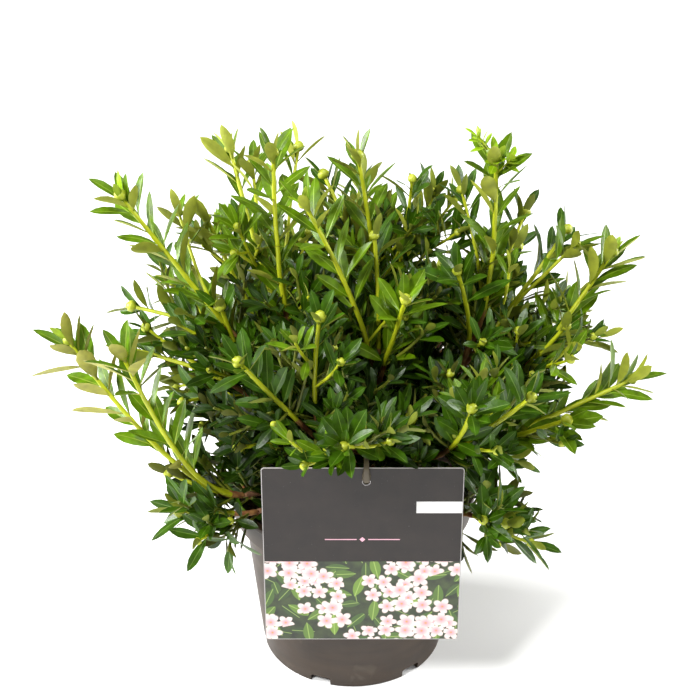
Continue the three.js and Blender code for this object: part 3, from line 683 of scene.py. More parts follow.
class Growth:
    """The crown's shoots so far, the space that all stems take and how the leaders show."""

    def __init__(self, masses, limb_segments):
        self.shoots = [shoot for mass in masses for shoot in mass["shoots"] if shoot.shown]
        self.taken = Segments(row for mass in masses for row in mass["segments"])
        self.taken.add(limb_segments.rows)
        self.view = StemView([mass["shoots"][0] for mass in masses])

    def add(self, shoot):
        self.shoots.append(shoot)
        self.taken.add(shoot.segments())

    def has_room(self, shoot, margin):
        points = shoot.curve.points(6)[2:]
        low, high = CROWN_LOW + FINER_INSIDE, CROWN_HIGH - FINER_INSIDE
        if not all(low[k] < points[-1][k] < high[k] for k in range(3)):
            return False
        if self.taken.nearest(points).min() < margin:
            return False
        if touches_things(points, FINER_CLEAR).any() or in_sky(points).any():
            return False
        return not self.view.hidden_by(points, STEM_VIEW["room"])

    def along(self, parent, rule, zone, count, draw):
        """Finer shoots along a stem, by the same rule: each is turned on until it has room."""
        first, vary = FINER_STAGGER
        turn_angle = draw() * 2 * math.pi
        for i in range(count):
            share = lerp(*zone, (i + first + vary * draw()) / count)
            length = lerp(*rule["length"], draw())
            spread = math.radians(lerp(*rule["spread"], draw()))
            for _ in range(rule["tries"]):
                turn_angle += GOLDEN_ANGLE
                shoot = side_limb(parent, share, turn_angle, spread, length, rule["kind"], rule["lift"])
                if self.has_room(shoot, rule["margin"]):
                    self.add(shoot)
                    break


def grow_finer(growth, mass):
    """The fine, hanging and twin shoots of a mass."""
    draw = random_from(mass["index"] + SEEDS["fine"])
    leader, low_mass, first = mass["shoots"][0], mass["name"] in LOW_MASSES, len(growth.shoots)
    fine, twin, hanging = (FINER_SHOOTS[name] for name in ("fine", "twin", "hanging"))
    low, high = fine["zone"]
    high = max(low, min(high, leader.free_from))
    count = round((high - low) * leader.curve.length() / fine["spacing"])
    growth.along(leader, fine, (low, high), count, draw)
    if low_mass:
        growth.along(leader, hanging, hanging["zone"], hanging["each"], draw)
    twins = LOW_TWINS if low_mass else twin["each"]
    for parent in mass["shoots"][1:]:
        growth.along(parent, twin, twin["zone"], twins if parent.shown else 0, draw)
    if low_mass:
        for shoot in mass["shoots"] + growth.shoots[first:]:
            shoot.leaf_size, shoot.leaf_gap = LOW_LEAF_SIZE, LOW_LEAF_GAP


def grow_plant():
    """The trunk and boughs, and every shoot of the crown."""
    limbs = grow_limbs()
    limb_segments = segments_of(limbs)
    masses = grow_leaders(limbs)
    for mass in masses:
        grow_side_shoots(mass, masses, limb_segments)
    growth = Growth(masses, limb_segments)
    leaders = {mass["name"]: mass["shoots"][0] for mass in masses}
    for name, share, *tip in SECOND_LEADERS:
        growth.add(second_leader(leaders[name], share, tip_at(*tip)))
    for mass in masses:
        grow_finer(growth, mass)
    inner = FINER_SHOOTS["inner"]
    for index, (name, *_) in enumerate(BOUGHS):
        count = round(limbs[name].curve.length() / inner["spacing"])
        growth.along(limbs[name], inner, inner["zone"], count, random_from(index + SEEDS["inner"]))
    for leader in leaders.values():
        outside = [t for t in CUTS if not in_sky([leader.curve.point(t)], CUT_CLEARANCE)[0]]
        leader.curve = leader.curve.cut(max(outside))
    return limbs, growth.shoots


# ---------------------------------------------------------------- leaves, from the shoots

# What each kind of shoot bears: the leaves in the whorl at its tip, mm between its single leaves, the
# lowest share with leaves and their lengths; the share that goes of the leaves before its stem; how
# much fuller the stem is than in the solids and the woody share of it; its bud's length and how
# often it has one.
SHOOT_COLUMNS = ("whorl", "spacing", "lowest", "lengths", "bare", "fullness", "woody", "bud", "budded")
SHOOT_ROWS = {
    "leader": (8, 2.7, 0.26, (32, 44), 0.8, 1.3, 0.46, 10.5, 1),
    "second": (8, 4, 0.24, (29, 39), 0.7, 1.3, 0.12, 9.2, 1),
    "side": (8, 6.5, 0.2, (27, 36), 0.5, 1.15, 0, 8, 0.8),
    "fine": (7, 9, 0.2, (24, 33), 0.2, 1.1, 0, 7, 0.3),
    "twin": (6, 9, 0.25, (22, 31), 0, 1.1, 0, 6, 0.15),
    "inner": (7, 9, 0.2, (26, 35), 0, 1.1, 0.12, 6, 0.15),
    "fresh": (0, 0, 0, (30, 42), 0, 1, 0, 0, 0),
}
SHOOT_KINDS = {kind: dict(zip(SHOOT_COLUMNS, row)) for kind, row in SHOOT_ROWS.items()}
# Times the rule's: the leaves inside the crown are shorter than the outer ones.
LEAF_LENGTH = {"deep": 0.93, "middle": 0.97, "olive": 1.04, "khaki": 1.12, "young": 1}
LEAF_HALF_WIDTH = (0.13, 0.165)  # shares of the length
LEAF_ROOT = 0.6  # of the stem's radius
OPEN_TOP, OPEN_GAP = (340, 440), 1.5  # leaves stand wider apart on shoots that end so high
WHORL_DEPTH = 13
WHORL_STAGGER = 0.6
WHORL_OPEN = (16, 60)
WHORL_SIZE = (0.74, 1.02)
SINGLE_FIRST = 0.7  # of the spacing, from the whorl to the first single leaf
SINGLE_STEP = (0.8, 1.2)  # times the spacing
SINGLE_OPEN = (32, 60)
SINGLE_SIZE = (0.9, 1.04)
LEAF_TURNS_UP = 0.2  # leaves lift a little to the light
LEAF_FACES_UP = 0.2  # and turn their upper sides to it
LEAF_ROLL = 0.5
LEAF_KINDS = 5
FEWEST_LEAVES, FEWEST_IN_WHORL = 5, 4  # a shoot with fewer is left out
LEAF_PROUD = 17  # the most that a leaf stands out of the solids' box
LEAF_TESTED = (0.25, 0.5, 0.75, 1)  # where along it a leaf is tested for room
LEAF_ROOM = 1  # from the boughs
LEAF_SKY = (0.5, 1)  # how much of a gap's radius a leaf's outer half keeps out of, at random
YOUNG_SIZE = 0.8  # the smallest leaves of an outer whorl may be young
YOUNG_LENGTH = 0.7
PALE_BARE = 0.7  # times as many leaves go from before the stems of the two pale-leaved leaders
# A leaf lies before its own stem if it stands lower than this share of it, and leans to the front
# with at least this cosine.
COVER_BELOW, COVER_FACING = 0.93, 0.45
CROWN_MIDDLE, CROWN_REACH = Vector((0, 0, 240)), 250
HIGH_SHARE = 0.22  # how much height counts towards being far out, so high shoots are lighter, partly painted light
TONE_SPREAD = 0.28
TONE_STEPS = (0.58, 0.95)  # how far out the middle and the olive tones begin, as shares of the reach


def tone_of(shoot, draw):
    """Shoots inside the crown and low on it are darkest, partly painted shade, and its outermost ones
    are olive, partly painted light.
    """
    if shoot.pale_under:
        return "khaki"
    away = shoot.curve.end - CROWN_MIDDLE
    outer = (away.length + HIGH_SHARE * away.z) / CROWN_REACH + lerp(-TONE_SPREAD, TONE_SPREAD, draw())
    return "deep" if outer < TONE_STEPS[0] else "middle" if outer < TONE_STEPS[1] else "olive"


def leaf_sites(shoot, draw):
    """Share of the stem, opening angle and size of each leaf, from the tip down."""
    kind, length = SHOOT_KINDS[shoot.kind], shoot.curve.length()
    high = (shoot.curve.end.z - OPEN_TOP[0]) / (OPEN_TOP[1] - OPEN_TOP[0])
    whorl, spacing = kind["whorl"], kind["spacing"]
    spacing *= shoot.leaf_gap * lerp(1, OPEN_GAP, min(1, max(0, high)))
    sites = []
    for i in range(whorl):
        back = WHORL_DEPTH * (i + WHORL_STAGGER) / whorl
        open_angle = lerp(*WHORL_OPEN, (i + draw()) / whorl)
        sites.append((1 - back / length, open_angle, lerp(*WHORL_SIZE, i / whorl)))
    back = WHORL_DEPTH + spacing * SINGLE_FIRST
    while back < length * (1 - max(kind["lowest"], shoot.leafy_from)):
        sites.append((1 - back / length, lerp(*SINGLE_OPEN, draw()), lerp(*SINGLE_SIZE, draw())))
        back += spacing * lerp(*SINGLE_STEP, draw())
    return sites


def leaf_on(shoot, share, turn_angle, open_angle, size, draw):
    """A leaf's root, axes and sizes."""
    point, along, across, side = shoot.curve.frame(share)
    outwards = across * math.cos(turn_angle) + side * math.sin(turn_angle)
    tilt = math.radians(open_angle)
    direction = along * math.cos(tilt) + outwards * math.sin(tilt)
    direction.z += LEAF_TURNS_UP
    direction.normalize()
    face = off_axis(along + Vector((0, 0, LEAF_FACES_UP)), direction)
    face = Matrix.Rotation(lerp(-LEAF_ROLL, LEAF_ROLL, draw()), 3, direction) @ face
    length = lerp(*SHOOT_KINDS[shoot.kind]["lengths"], draw()) * size
    length *= LEAF_LENGTH[shoot.tone]
    length *= shoot.leaf_size
    return {
        "root": point + direction * (LEAF_ROOT * shoot.radius_at(share)),
        "along": direction,
        "face": face,
        "length": length,
        "half_width": length * lerp(*LEAF_HALF_WIDTH, draw()),
        "kind": int(draw() * LEAF_KINDS),
        "tone": shoot.tone,
    }


def leaf_has_room(leaf, limb_segments, draw):
    """Whether a leaf keeps off the pot, the label, the stake, the boughs and the sky, and inside."""
    across = leaf["along"].cross(leaf["face"])
    points = []
    for share in LEAF_TESTED:
        middle = leaf["root"] + leaf["along"] * (leaf["length"] * share)
        reach = leaf["half_width"] * (1 - abs(2 * share - 1))
        points += [middle, middle + across * reach, middle - across * reach]
    if touches_things(points).any() or limb_segments.touched(points, LEAF_ROOM).any():
        return False
    outer_half = points[len(points) // 2 :]
    if in_sky(outer_half, lerp(*LEAF_SKY, draw())).any():
        return False
    tip = points[-1]
    return all(CROWN_LOW[k] - LEAF_PROUD < tip[k] < CROWN_HIGH[k] + LEAF_PROUD for k in range(3))


def covers_stem(shoot, share, leaf):
    """Whether a leaf lower down a stem lies before it, seen from the front."""
    along = shoot.curve.direction(share)
    outwards = off_axis(leaf["along"], along)
    viewer = off_axis(Vector(CAMERA["place"]) - leaf["root"], along)
    return share < COVER_BELOW and outwards.dot(viewer) > COVER_FACING


def grow_leaves(shoots, limbs):
    limb_segments = segments_of(limbs)
    view = StemView(shoots)
    leaves = []
    for index, shoot in enumerate(shoots):
        draw = random_from(index + SEEDS["leaves"])
        shoot.tone = tone_of(shoot, draw)
        turn_angle = draw() * 2 * math.pi
        young = shoot.young and shoot.tone in ("olive", "khaki")
        ease = PALE_BARE if shoot.pale_under else 1
        own, tuft = [], 0
        for share, open_angle, size in leaf_sites(shoot, draw):
            turn_angle += GOLDEN_ANGLE
            leaf = leaf_on(shoot, share, turn_angle, open_angle, size, draw)
            bare = draw() < SHOOT_KINDS[shoot.kind]["bare"] * ease and covers_stem(shoot, share, leaf)
            bare |= draw() < STEM_VIEW["share"] * ease and view.hidden_by_leaf(leaf)
            if not bare and leaf_has_room(leaf, limb_segments, draw):
                if young and size < YOUNG_SIZE:
                    leaf["tone"] = "young"
                    leaf["length"] *= YOUNG_LENGTH
                    leaf["half_width"] *= YOUNG_LENGTH
                own.append(leaf)
                tuft += (1 - share) * shoot.curve.length() < WHORL_DEPTH
        if shoot.kind != "leader" and (len(own) < FEWEST_LEAVES or tuft < FEWEST_IN_WHORL):
            shoot.shown = False
            continue
        leaves += own
    shoots[:] = [shoot for shoot in shoots if shoot.shown]
    return leaves


# The three small sprigs round the tip of the tall shoot on the right: how each leans, how far apart
# they leave it, and their leaves, from the lowest to the tip.
FRESH_LEANS = [(-15, -2, 22), (-2, -6, 9), (12, -2, 15)]
FRESH = {"leader": "foliage_tall_right", "apart": 0.02, "radius": 0.7, "leaves": 9, "lowest": 0.55,
         "step": 0.05, "open": (75, 22), "size": 0.33, "wider": 1.7}


def grow_fresh_tips(shoots):
    """Small bright new leaves round the tip of the tall shoot on the right."""
    tip = next(tip_at(*mass[2:5]) for mass in MASSES if mass[0] == FRESH["leader"])
    leader = next(s for s in shoots if s.kind == "leader" and (s.curve.end - tip).length < 1)
    draw = random_from(SEEDS["fresh"])
    leaves = []
    for k, lean in enumerate(map(Vector, FRESH_LEANS)):
        start = leader.curve.point(1 - FRESH["apart"] * k)
        curve = Curve(start, start + lean * 0.5, start + lean)
        sprig = Limb(curve, lambda t: FRESH["radius"], 2, "fresh", "young")
        for i in range(FRESH["leaves"]):
            share = FRESH["lowest"] + FRESH["step"] * i
            open_angle = lerp(*FRESH["open"], i / FRESH["leaves"])
            leaf = leaf_on(sprig, share, i * GOLDEN_ANGLE, open_angle, FRESH["size"], draw)
            leaf["half_width"] *= FRESH["wider"]
            leaves.append(leaf)
        shoots.append(sprig)
    return leaves


# ---------------------------------------------------------------- meshes


def in_scene(name, data):
    """A new object, put in the scene."""
    thing = bpy.data.objects.new(name, data)
    bpy.context.scene.collection.objects.link(thing)
    return thing


def mesh_object(name, vertices, faces, smooth=True):
    mesh = bpy.data.meshes.new(name)
    mesh.from_pydata([tuple(v) for v in vertices], [], faces)
    mesh.validate()
    if smooth:
        mesh.shade_smooth()
    return in_scene(name, mesh)


def shell_object(name, shell):
    """A finished bmesh as an object."""
    mesh = bpy.data.meshes.new(name)
    shell.to_mesh(mesh)
    shell.free()
    return in_scene(mesh.name, mesh)


def evaluated_mesh(piece):
    graph = bpy.context.evaluated_depsgraph_get()
    return bpy.data.meshes.new_from_object(piece.evaluated_get(graph), depsgraph=graph)


def outward(piece, merge=0.0):
    """Merges doubles, and points the faces outwards."""
    shell = bmesh.new()
    shell.from_mesh(piece.data)
    if merge:
        bmesh.ops.remove_doubles(shell, verts=shell.verts, dist=merge)
    bmesh.ops.recalc_face_normals(shell, faces=shell.faces)
    shell.to_mesh(piece.data)
    shell.free()
    return piece


def settled(piece):
    """The evaluated piece as a plain mesh, with its modifiers gone."""
    mesh = evaluated_mesh(piece)
    piece.modifiers.clear()
    piece.data = mesh
    mesh.name = piece.name
    return piece


def creased(piece, degrees):
    """Smooth shading, with the sharper edges kept."""
    piece.data.shade_smooth()
    piece.data.set_sharp_from_angle(angle=math.radians(degrees))
    return piece


def dressed(piece, material, slot, *nodes):
    """Gives a piece its finish and its body, and hides the nodes it stands for. The slot is not used."""
    if material:
        piece.data.materials.clear()
        piece.data.materials.append(material)
    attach(piece, "root")
    if nodes:
        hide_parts(*nodes)
    return piece


def ring_faces(rows, sides, closed_ends=True):
    """Faces of a tube of `rows` rings of `sides` vertices each, with a fan at each end."""
    faces = []
    for row in range(rows - 1):
        for k in range(sides):
            a, b = row * sides + k, row * sides + (k + 1) % sides
            faces.append((a, b, b + sides, a + sides))
    if closed_ends:
        faces.append(tuple(reversed(range(sides))))
        faces.append(tuple(range((rows - 1) * sides, rows * sides)))
    return faces


# ---------------------------------------------------------------- nodes

COMPARE_A, COMPARE_B = 2, 3  # the whole-number inputs of a compare node
MIX_A, MIX_B, MIX_RESULT = 6, 7, 2  # the colour inputs and output of a mix node


def new_node(tree, kind, inputs=None, **settings):
    """A node with its settings, and with its inputs, by name or number, linked or set."""
    node = tree.nodes.new(kind)
    for name, value in settings.items():
        setattr(node, name, value)
    for socket, value in (inputs or {}).items():
        if isinstance(value, bpy.types.NodeSocket):
            tree.links.new(value, node.inputs[socket])
        else:
            node.inputs[socket].default_value = value
    return node


def new_tree(name, inputs):
    """A node tree with a geometry input and output and the given named inputs."""
    tree = bpy.data.node_groups.new(name, "GeometryNodeTree")
    for label, kind, value in [("Geometry", "NodeSocketGeometry", None), *inputs]:
        socket = tree.interface.new_socket(label, in_out="INPUT", socket_type=kind)
        if value is not None:
            socket.default_value = value
    tree.interface.new_socket("Geometry", in_out="OUTPUT", socket_type="NodeSocketGeometry")
    return tree, tree.nodes.new("NodeGroupInput"), tree.nodes.new("NodeGroupOutput")


def attribute(tree, name, kind):
    node = new_node(tree, "GeometryNodeInputNamedAttribute", {"Name": name}, data_type=kind)
    return node.outputs["Attribute"]


def run_tree(piece, tree, **values):
    """Adds the tree to a piece with its inputs set, and settles it."""
    modifier = piece.modifiers.new(tree.name, "NODES")
    modifier.node_group = tree
    sockets = {item.name: item.identifier for item in tree.interface.items_tree
               if item.item_type == "SOCKET" and item.in_out == "INPUT"}
    for name, value in values.items():
        modifier[sockets[name.replace("_", " ")]] = value
    return settled(piece)


def shoot_tree():
    """Sweeps a round stem along each chain of edges, as thick as its radius attribute says."""
    tree, source, result = new_tree(
        "stems", [("Sides", "NodeSocketInt", 8), ("Finish", "NodeSocketMaterial", None)]
    )
    line = new_node(tree, "GeometryNodeMeshToCurve", {"Mesh": source.outputs["Geometry"]})
    ring = new_node(tree, "GeometryNodeCurvePrimitiveCircle",
                    {"Resolution": source.outputs["Sides"], "Radius": 1})
    swept = new_node(tree, "GeometryNodeCurveToMesh", {
        "Curve": line.outputs["Curve"],
        "Profile Curve": ring.outputs["Curve"],
        "Scale": attribute(tree, "radius", "FLOAT"),
        "Fill Caps": True,
    })
    smooth = new_node(tree, "GeometryNodeSetShadeSmooth", {"Geometry": swept.outputs["Mesh"]})
    real = new_node(tree, "GeometryNodeRealizeInstances", {"Geometry": smooth.outputs["Geometry"]})
    paint = new_node(tree, "GeometryNodeSetMaterial",
                     {"Geometry": real.outputs["Geometry"], "Material": source.outputs["Finish"]})
    tree.links.new(paint.outputs["Geometry"], result.inputs["Geometry"])
    return tree


def spray_tree(name, finishes):
    """Puts one of a collection's shapes on each point, turned and sized by the point's attributes.
    Faces whose `part` attribute is n get the nth finish."""
    inputs = [("Shapes", "NodeSocketCollection", None)]
    inputs += [(finish, "NodeSocketMaterial", None) for finish in finishes]
    tree, source, result = new_tree(name, inputs)
    shapes = new_node(tree, "GeometryNodeCollectionInfo", {
        "Collection": source.outputs["Shapes"],
        "Separate Children": True,
        "Reset Children": True,
    })
    place = new_node(tree, "GeometryNodeInstanceOnPoints", {
        "Points": source.outputs["Geometry"],
        "Instance": shapes.outputs["Instances"],
        "Pick Instance": True,
        "Instance Index": attribute(tree, "kind", "INT"),
        "Rotation": attribute(tree, "turn", "QUATERNION"),
        "Scale": attribute(tree, "size", "FLOAT_VECTOR"),
    })
    real = new_node(tree, "GeometryNodeRealizeInstances", {"Geometry": place.outputs["Instances"]})
    last, part = real.outputs["Geometry"], attribute(tree, "part", "INT")
    for number, finish in enumerate(finishes):
        chosen = new_node(tree, "FunctionNodeCompare", {COMPARE_A: part, COMPARE_B: number},
                          data_type="INT", operation="EQUAL")
        paint = new_node(tree, "GeometryNodeSetMaterial", {
            "Geometry": last,
            "Selection": chosen.outputs["Result"],
            "Material": source.outputs[finish],
        })
        last = paint.outputs["Geometry"]
    tree.links.new(last, result.inputs["Geometry"])
    return tree


def point_cloud(name, places):
    """A mesh of loose points with the turn, size and kind of what stands on each."""
    piece = mesh_object(name, [place["at"] for place in places], [], smooth=False)
    attributes = piece.data.attributes
    turns = [part for place in places for part in place["turn"]]
    sizes = [part for place in places for part in place["size"]]
    kinds = [place["kind"] for place in places]
    attributes.new("turn", "QUATERNION", "POINT").data.foreach_set("value", turns)
    attributes.new("size", "FLOAT_VECTOR", "POINT").data.foreach_set("vector", sizes)
    attributes.new("kind", "INT", "POINT").data.foreach_set("value", kinds)
    return piece


def turn_to(along, face):
    """The turn that takes +Y along a direction and +Z to its face."""
    across = along.cross(face)
    return Matrix((across, along, face)).transposed().to_quaternion()


def hidden_collection(name, pieces):
    """Shapes for the trees to copy. They are in no scene, so nothing shows them by themselves."""
    collection = bpy.data.collections.new(name)
    for piece in pieces:
        collection.objects.link(piece)
        bpy.context.scene.collection.objects.unlink(piece)
    return collection


# ---------------------------------------------------------------- finishes


class Finish:
    """A procedural material round one Principled shader, on the piece's own coordinates."""

    def __init__(self, name, roughness, specular=0.5):
        self.material = bpy.data.materials.new(name)
        self.material.use_nodes = True
        self.tree = self.material.node_tree
        self.shader = self.tree.nodes["Principled BSDF"].inputs
        self.shader["Roughness"].default_value = roughness
        self.shader["Specular IOR Level"].default_value = specular
        self.place = self.node("ShaderNodeTexCoord").outputs["Object"]

    def node(self, kind, inputs=None, **settings):
        return new_node(self.tree, kind, inputs, **settings)

    def noise(self, scale, detail=3, distortion=0, stretch=None, vector=None):
        vector = vector or self.place
        if stretch:
            mapping = self.node("ShaderNodeMapping", {"Vector": vector, "Scale": stretch})
            vector = mapping.outputs["Vector"]
        inputs = {"Vector": vector, "Scale": scale, "Detail": detail, "Distortion": distortion}
        return self.node("ShaderNodeTexNoise", inputs).outputs["Fac"]

    def ramp(self, factor, *stops):
        """Colours by factor: pairs of place and linear colour."""
        node = self.node("ShaderNodeValToRGB", {"Fac": factor})
        elements = node.color_ramp.elements
        while len(elements) < len(stops):
            elements.new(0.5)
        for element, (where, colour) in zip(elements, stops):
            element.position, element.color = where, colour
        return node.outputs["Color"]

    def mix(self, factor, first, second):
        inputs = {"Factor": factor, MIX_A: first, MIX_B: second}
        return self.node("ShaderNodeMix", inputs, data_type="RGBA").outputs[MIX_RESULT]

    def maths(self, operation, *values):
        return self.node("ShaderNodeMath", dict(enumerate(values)), operation=operation).outputs[0]

    def colour(self, socket):
        self.tree.links.new(socket, self.shader["Base Color"])

    def rough(self, factor, low, high):
        node = self.node("ShaderNodeMapRange", {"Value": factor, "To Min": low, "To Max": high})
        self.tree.links.new(node.outputs["Result"], self.shader["Roughness"])

    def bump(self, height, strength, distance_mm):
        inputs = {"Height": height, "Strength": strength, "Distance": distance_mm * MM}
        self.tree.links.new(self.node("ShaderNodeBump", inputs).outputs["Normal"], self.shader["Normal"])


def mottled(name, dark, light, scale, roughness, stretch=None, bump=0.3, bump_mm=0.3, contrast=0.2,
            specular=0.5):
    """A material of two colours in soft patches, with a matching relief."""
    finish = Finish(name, roughness, specular)
    patches = finish.noise(scale, detail=5, stretch=stretch)
    grain = finish.noise(scale * 4, detail=3, stretch=stretch)
    finish.colour(finish.ramp(patches, (0.5 - contrast, linear(dark)), (0.5 + contrast, linear(light))))
    finish.rough(grain, roughness - 0.08, roughness + 0.1)
    finish.bump(grain, bump, bump_mm)
    return finish.material


def shade(code, factor):
    """A colour made lighter or darker."""
    return "".join(f"{min(255, round(int(code[i : i + 2], 16) * factor)):02x}" for i in (0, 2, 4))


def blade_finish(tone):
    code = LEAF_TONES[tone][0]
    return mottled(f"leaf_upper_{tone}", shade(code, 0.8), shade(code, 1.2), 120, 0.33,
                   bump=0.5, bump_mm=0.4, specular=0.2)


def rib_finish(tone):
    code = LEAF_TONES[tone][1]
    return mottled(f"leaf_rib_{tone}", shade(code, 0.92), shade(code, 1.08), 200, 0.5)


def lower_finish(tone):
    code = LEAF_TONES[tone][2]
    return mottled(f"leaf_lower_{tone}", shade(code, 0.9), shade(code, 1.1), 110, 0.62, bump_mm=0.2)


def shoot_finish(name="shoot"):
    return mottled(f"green_{name}", COLOURS[name], COLOURS[name + "_light"], 160, 0.45,
                   stretch=(1, 1, 0.35), bump=0.35)


def wood_finish():
    return mottled("old_wood", COLOURS["wood"], COLOURS["wood_light"], 120, 0.7,
                   stretch=(1, 1, 0.4), bump=0.6, bump_mm=0.5, contrast=0.12)


def bark_finish():
    return mottled("bark", COLOURS["bark"], COLOURS["bark_light"], 90, 0.85,
                   stretch=(1, 1, 0.3), bump=0.8, bump_mm=0.8, contrast=0.14)


def bud_finish():
    return mottled("bud", COLOURS["bud"], COLOURS["bud_light"], 260, 0.42)


BLACK, WHITE = (0, 0, 0, 1), (1, 1, 1, 1)


def pot_finish():
    """Satin moulded plastic: a fine grain, faint streaks round the wall and dusty marks."""
    finish = Finish("pot_plastic", 0.5, specular=0.4)
    streaks = finish.noise(18, detail=4, stretch=(1, 1, 5))
    marks = finish.noise(45, detail=6, distortion=0.6)
    dark, light = linear(COLOURS["pot"]), linear(COLOURS["pot_light"])
    base = finish.ramp(streaks, (0.35, dark), (0.7, light))
    dust = finish.ramp(marks, (0.62, BLACK), (0.74, WHITE))
    faint = finish.maths("MULTIPLY", dust, 0.07)
    finish.colour(finish.mix(faint, base, linear(COLOURS["pot_dust"])))
    finish.rough(marks, 0.42, 0.6)
    finish.bump(finish.noise(900, detail=2), 0.25, 0.12)
    return finish.material


def soil_finish():
    return mottled("compost", COLOURS["soil"], COLOURS["soil_light"], 220, 0.95,
                   bump=0.9, bump_mm=1.2, contrast=0.16)


def chip_finish():
    return mottled("bark_chip", COLOURS["soil_light"], COLOURS["chip"], 150, 0.85,
                   stretch=(1, 0.4, 1), bump=0.6, bump_mm=0.6)


def card_finish():
    """Satin printed card with a faint mottle and a few pale specks."""
    finish = Finish("label_card_print", 0.42, specular=0.3)
    mottle = finish.noise(60, detail=6)
    dark, light = linear(COLOURS["card"]), linear(COLOURS["card_light"])
    base = finish.ramp(mottle, (0.3, dark), (0.75, light))
    specks = finish.ramp(finish.noise(700, detail=1), (0.76, BLACK), (0.8, WHITE))
    faint = finish.maths("MULTIPLY", specks, 0.25)
    finish.colour(finish.mix(faint, base, linear(COLOURS["card_speck"])))
    finish.rough(mottle, 0.36, 0.5)
    finish.bump(finish.noise(500, detail=2), 0.15, 0.1)
    return finish.material


def plain_print(name, colour, darker, scale):
    """Nearly even colour on the card."""
    return mottled(name, shade(COLOURS[colour], darker), COLOURS[colour], scale, 0.45,
                   bump=0.1, bump_mm=0.05)


def card_edge_finish():
    return plain_print("label_card_edge", "card_edge", 0.95, 90)


def strip_finish():
    return plain_print("label_strip_print", "strip", 0.97, 80)


def rule_finish():
    return plain_print("label_rule_print", "rule", 0.95, 80)


def stake_finish():
    return mottled("stake_plastic", shade(COLOURS["stake"], 0.88), COLOURS["stake"], 140, 0.5,
                   stretch=(1, 1, 0.2), bump=0.25, bump_mm=0.15)


def floor_finish():
    return mottled("pale_floor", shade(COLOURS["floor"], 0.995), COLOURS["floor"], 3, 0.8,
                   bump=0.02, bump_mm=0.1)


# The label's picture, layer on layer. Leaves: mm between them, their shift and two greens. Blossoms:
# mm between them, their shift, and the noise value over which a cell has one.
PRINTED_LEAVES = [(19, 3.1, "22341a", "3f5a22"), (22, 8.4, "34501c", "6c8c2e")]
PRINTED_BLOSSOMS = [(14, 5.2, 0.5), (16, 1.6, 0.52)]
CLUSTER_SCALE = 0.3  # of the noise that groups the blossoms
SHIFT_ACROSS = 1.7  # times a layer's shift
# Petals in cell widths: their reach between and along them, and where the colours begin.
BLOSSOM = {"spread": 0.55, "lobes": 2.5, "core": 0.3, "lobe": 0.24, "edge": 0.12, "heart": 0.02,
           "inner": 0.09, "outer": 0.42, "crease": 0.16, "crease_edge": 0.1, "crease_shade": 0.35}
PRINTED_LEAF = {"spread": 0.9, "shorter": 1.9, "half_width": 0.2, "edge": 0.02, "rib": 0.018,
                "rib_edge": 0.012, "rib_shade": 0.5}


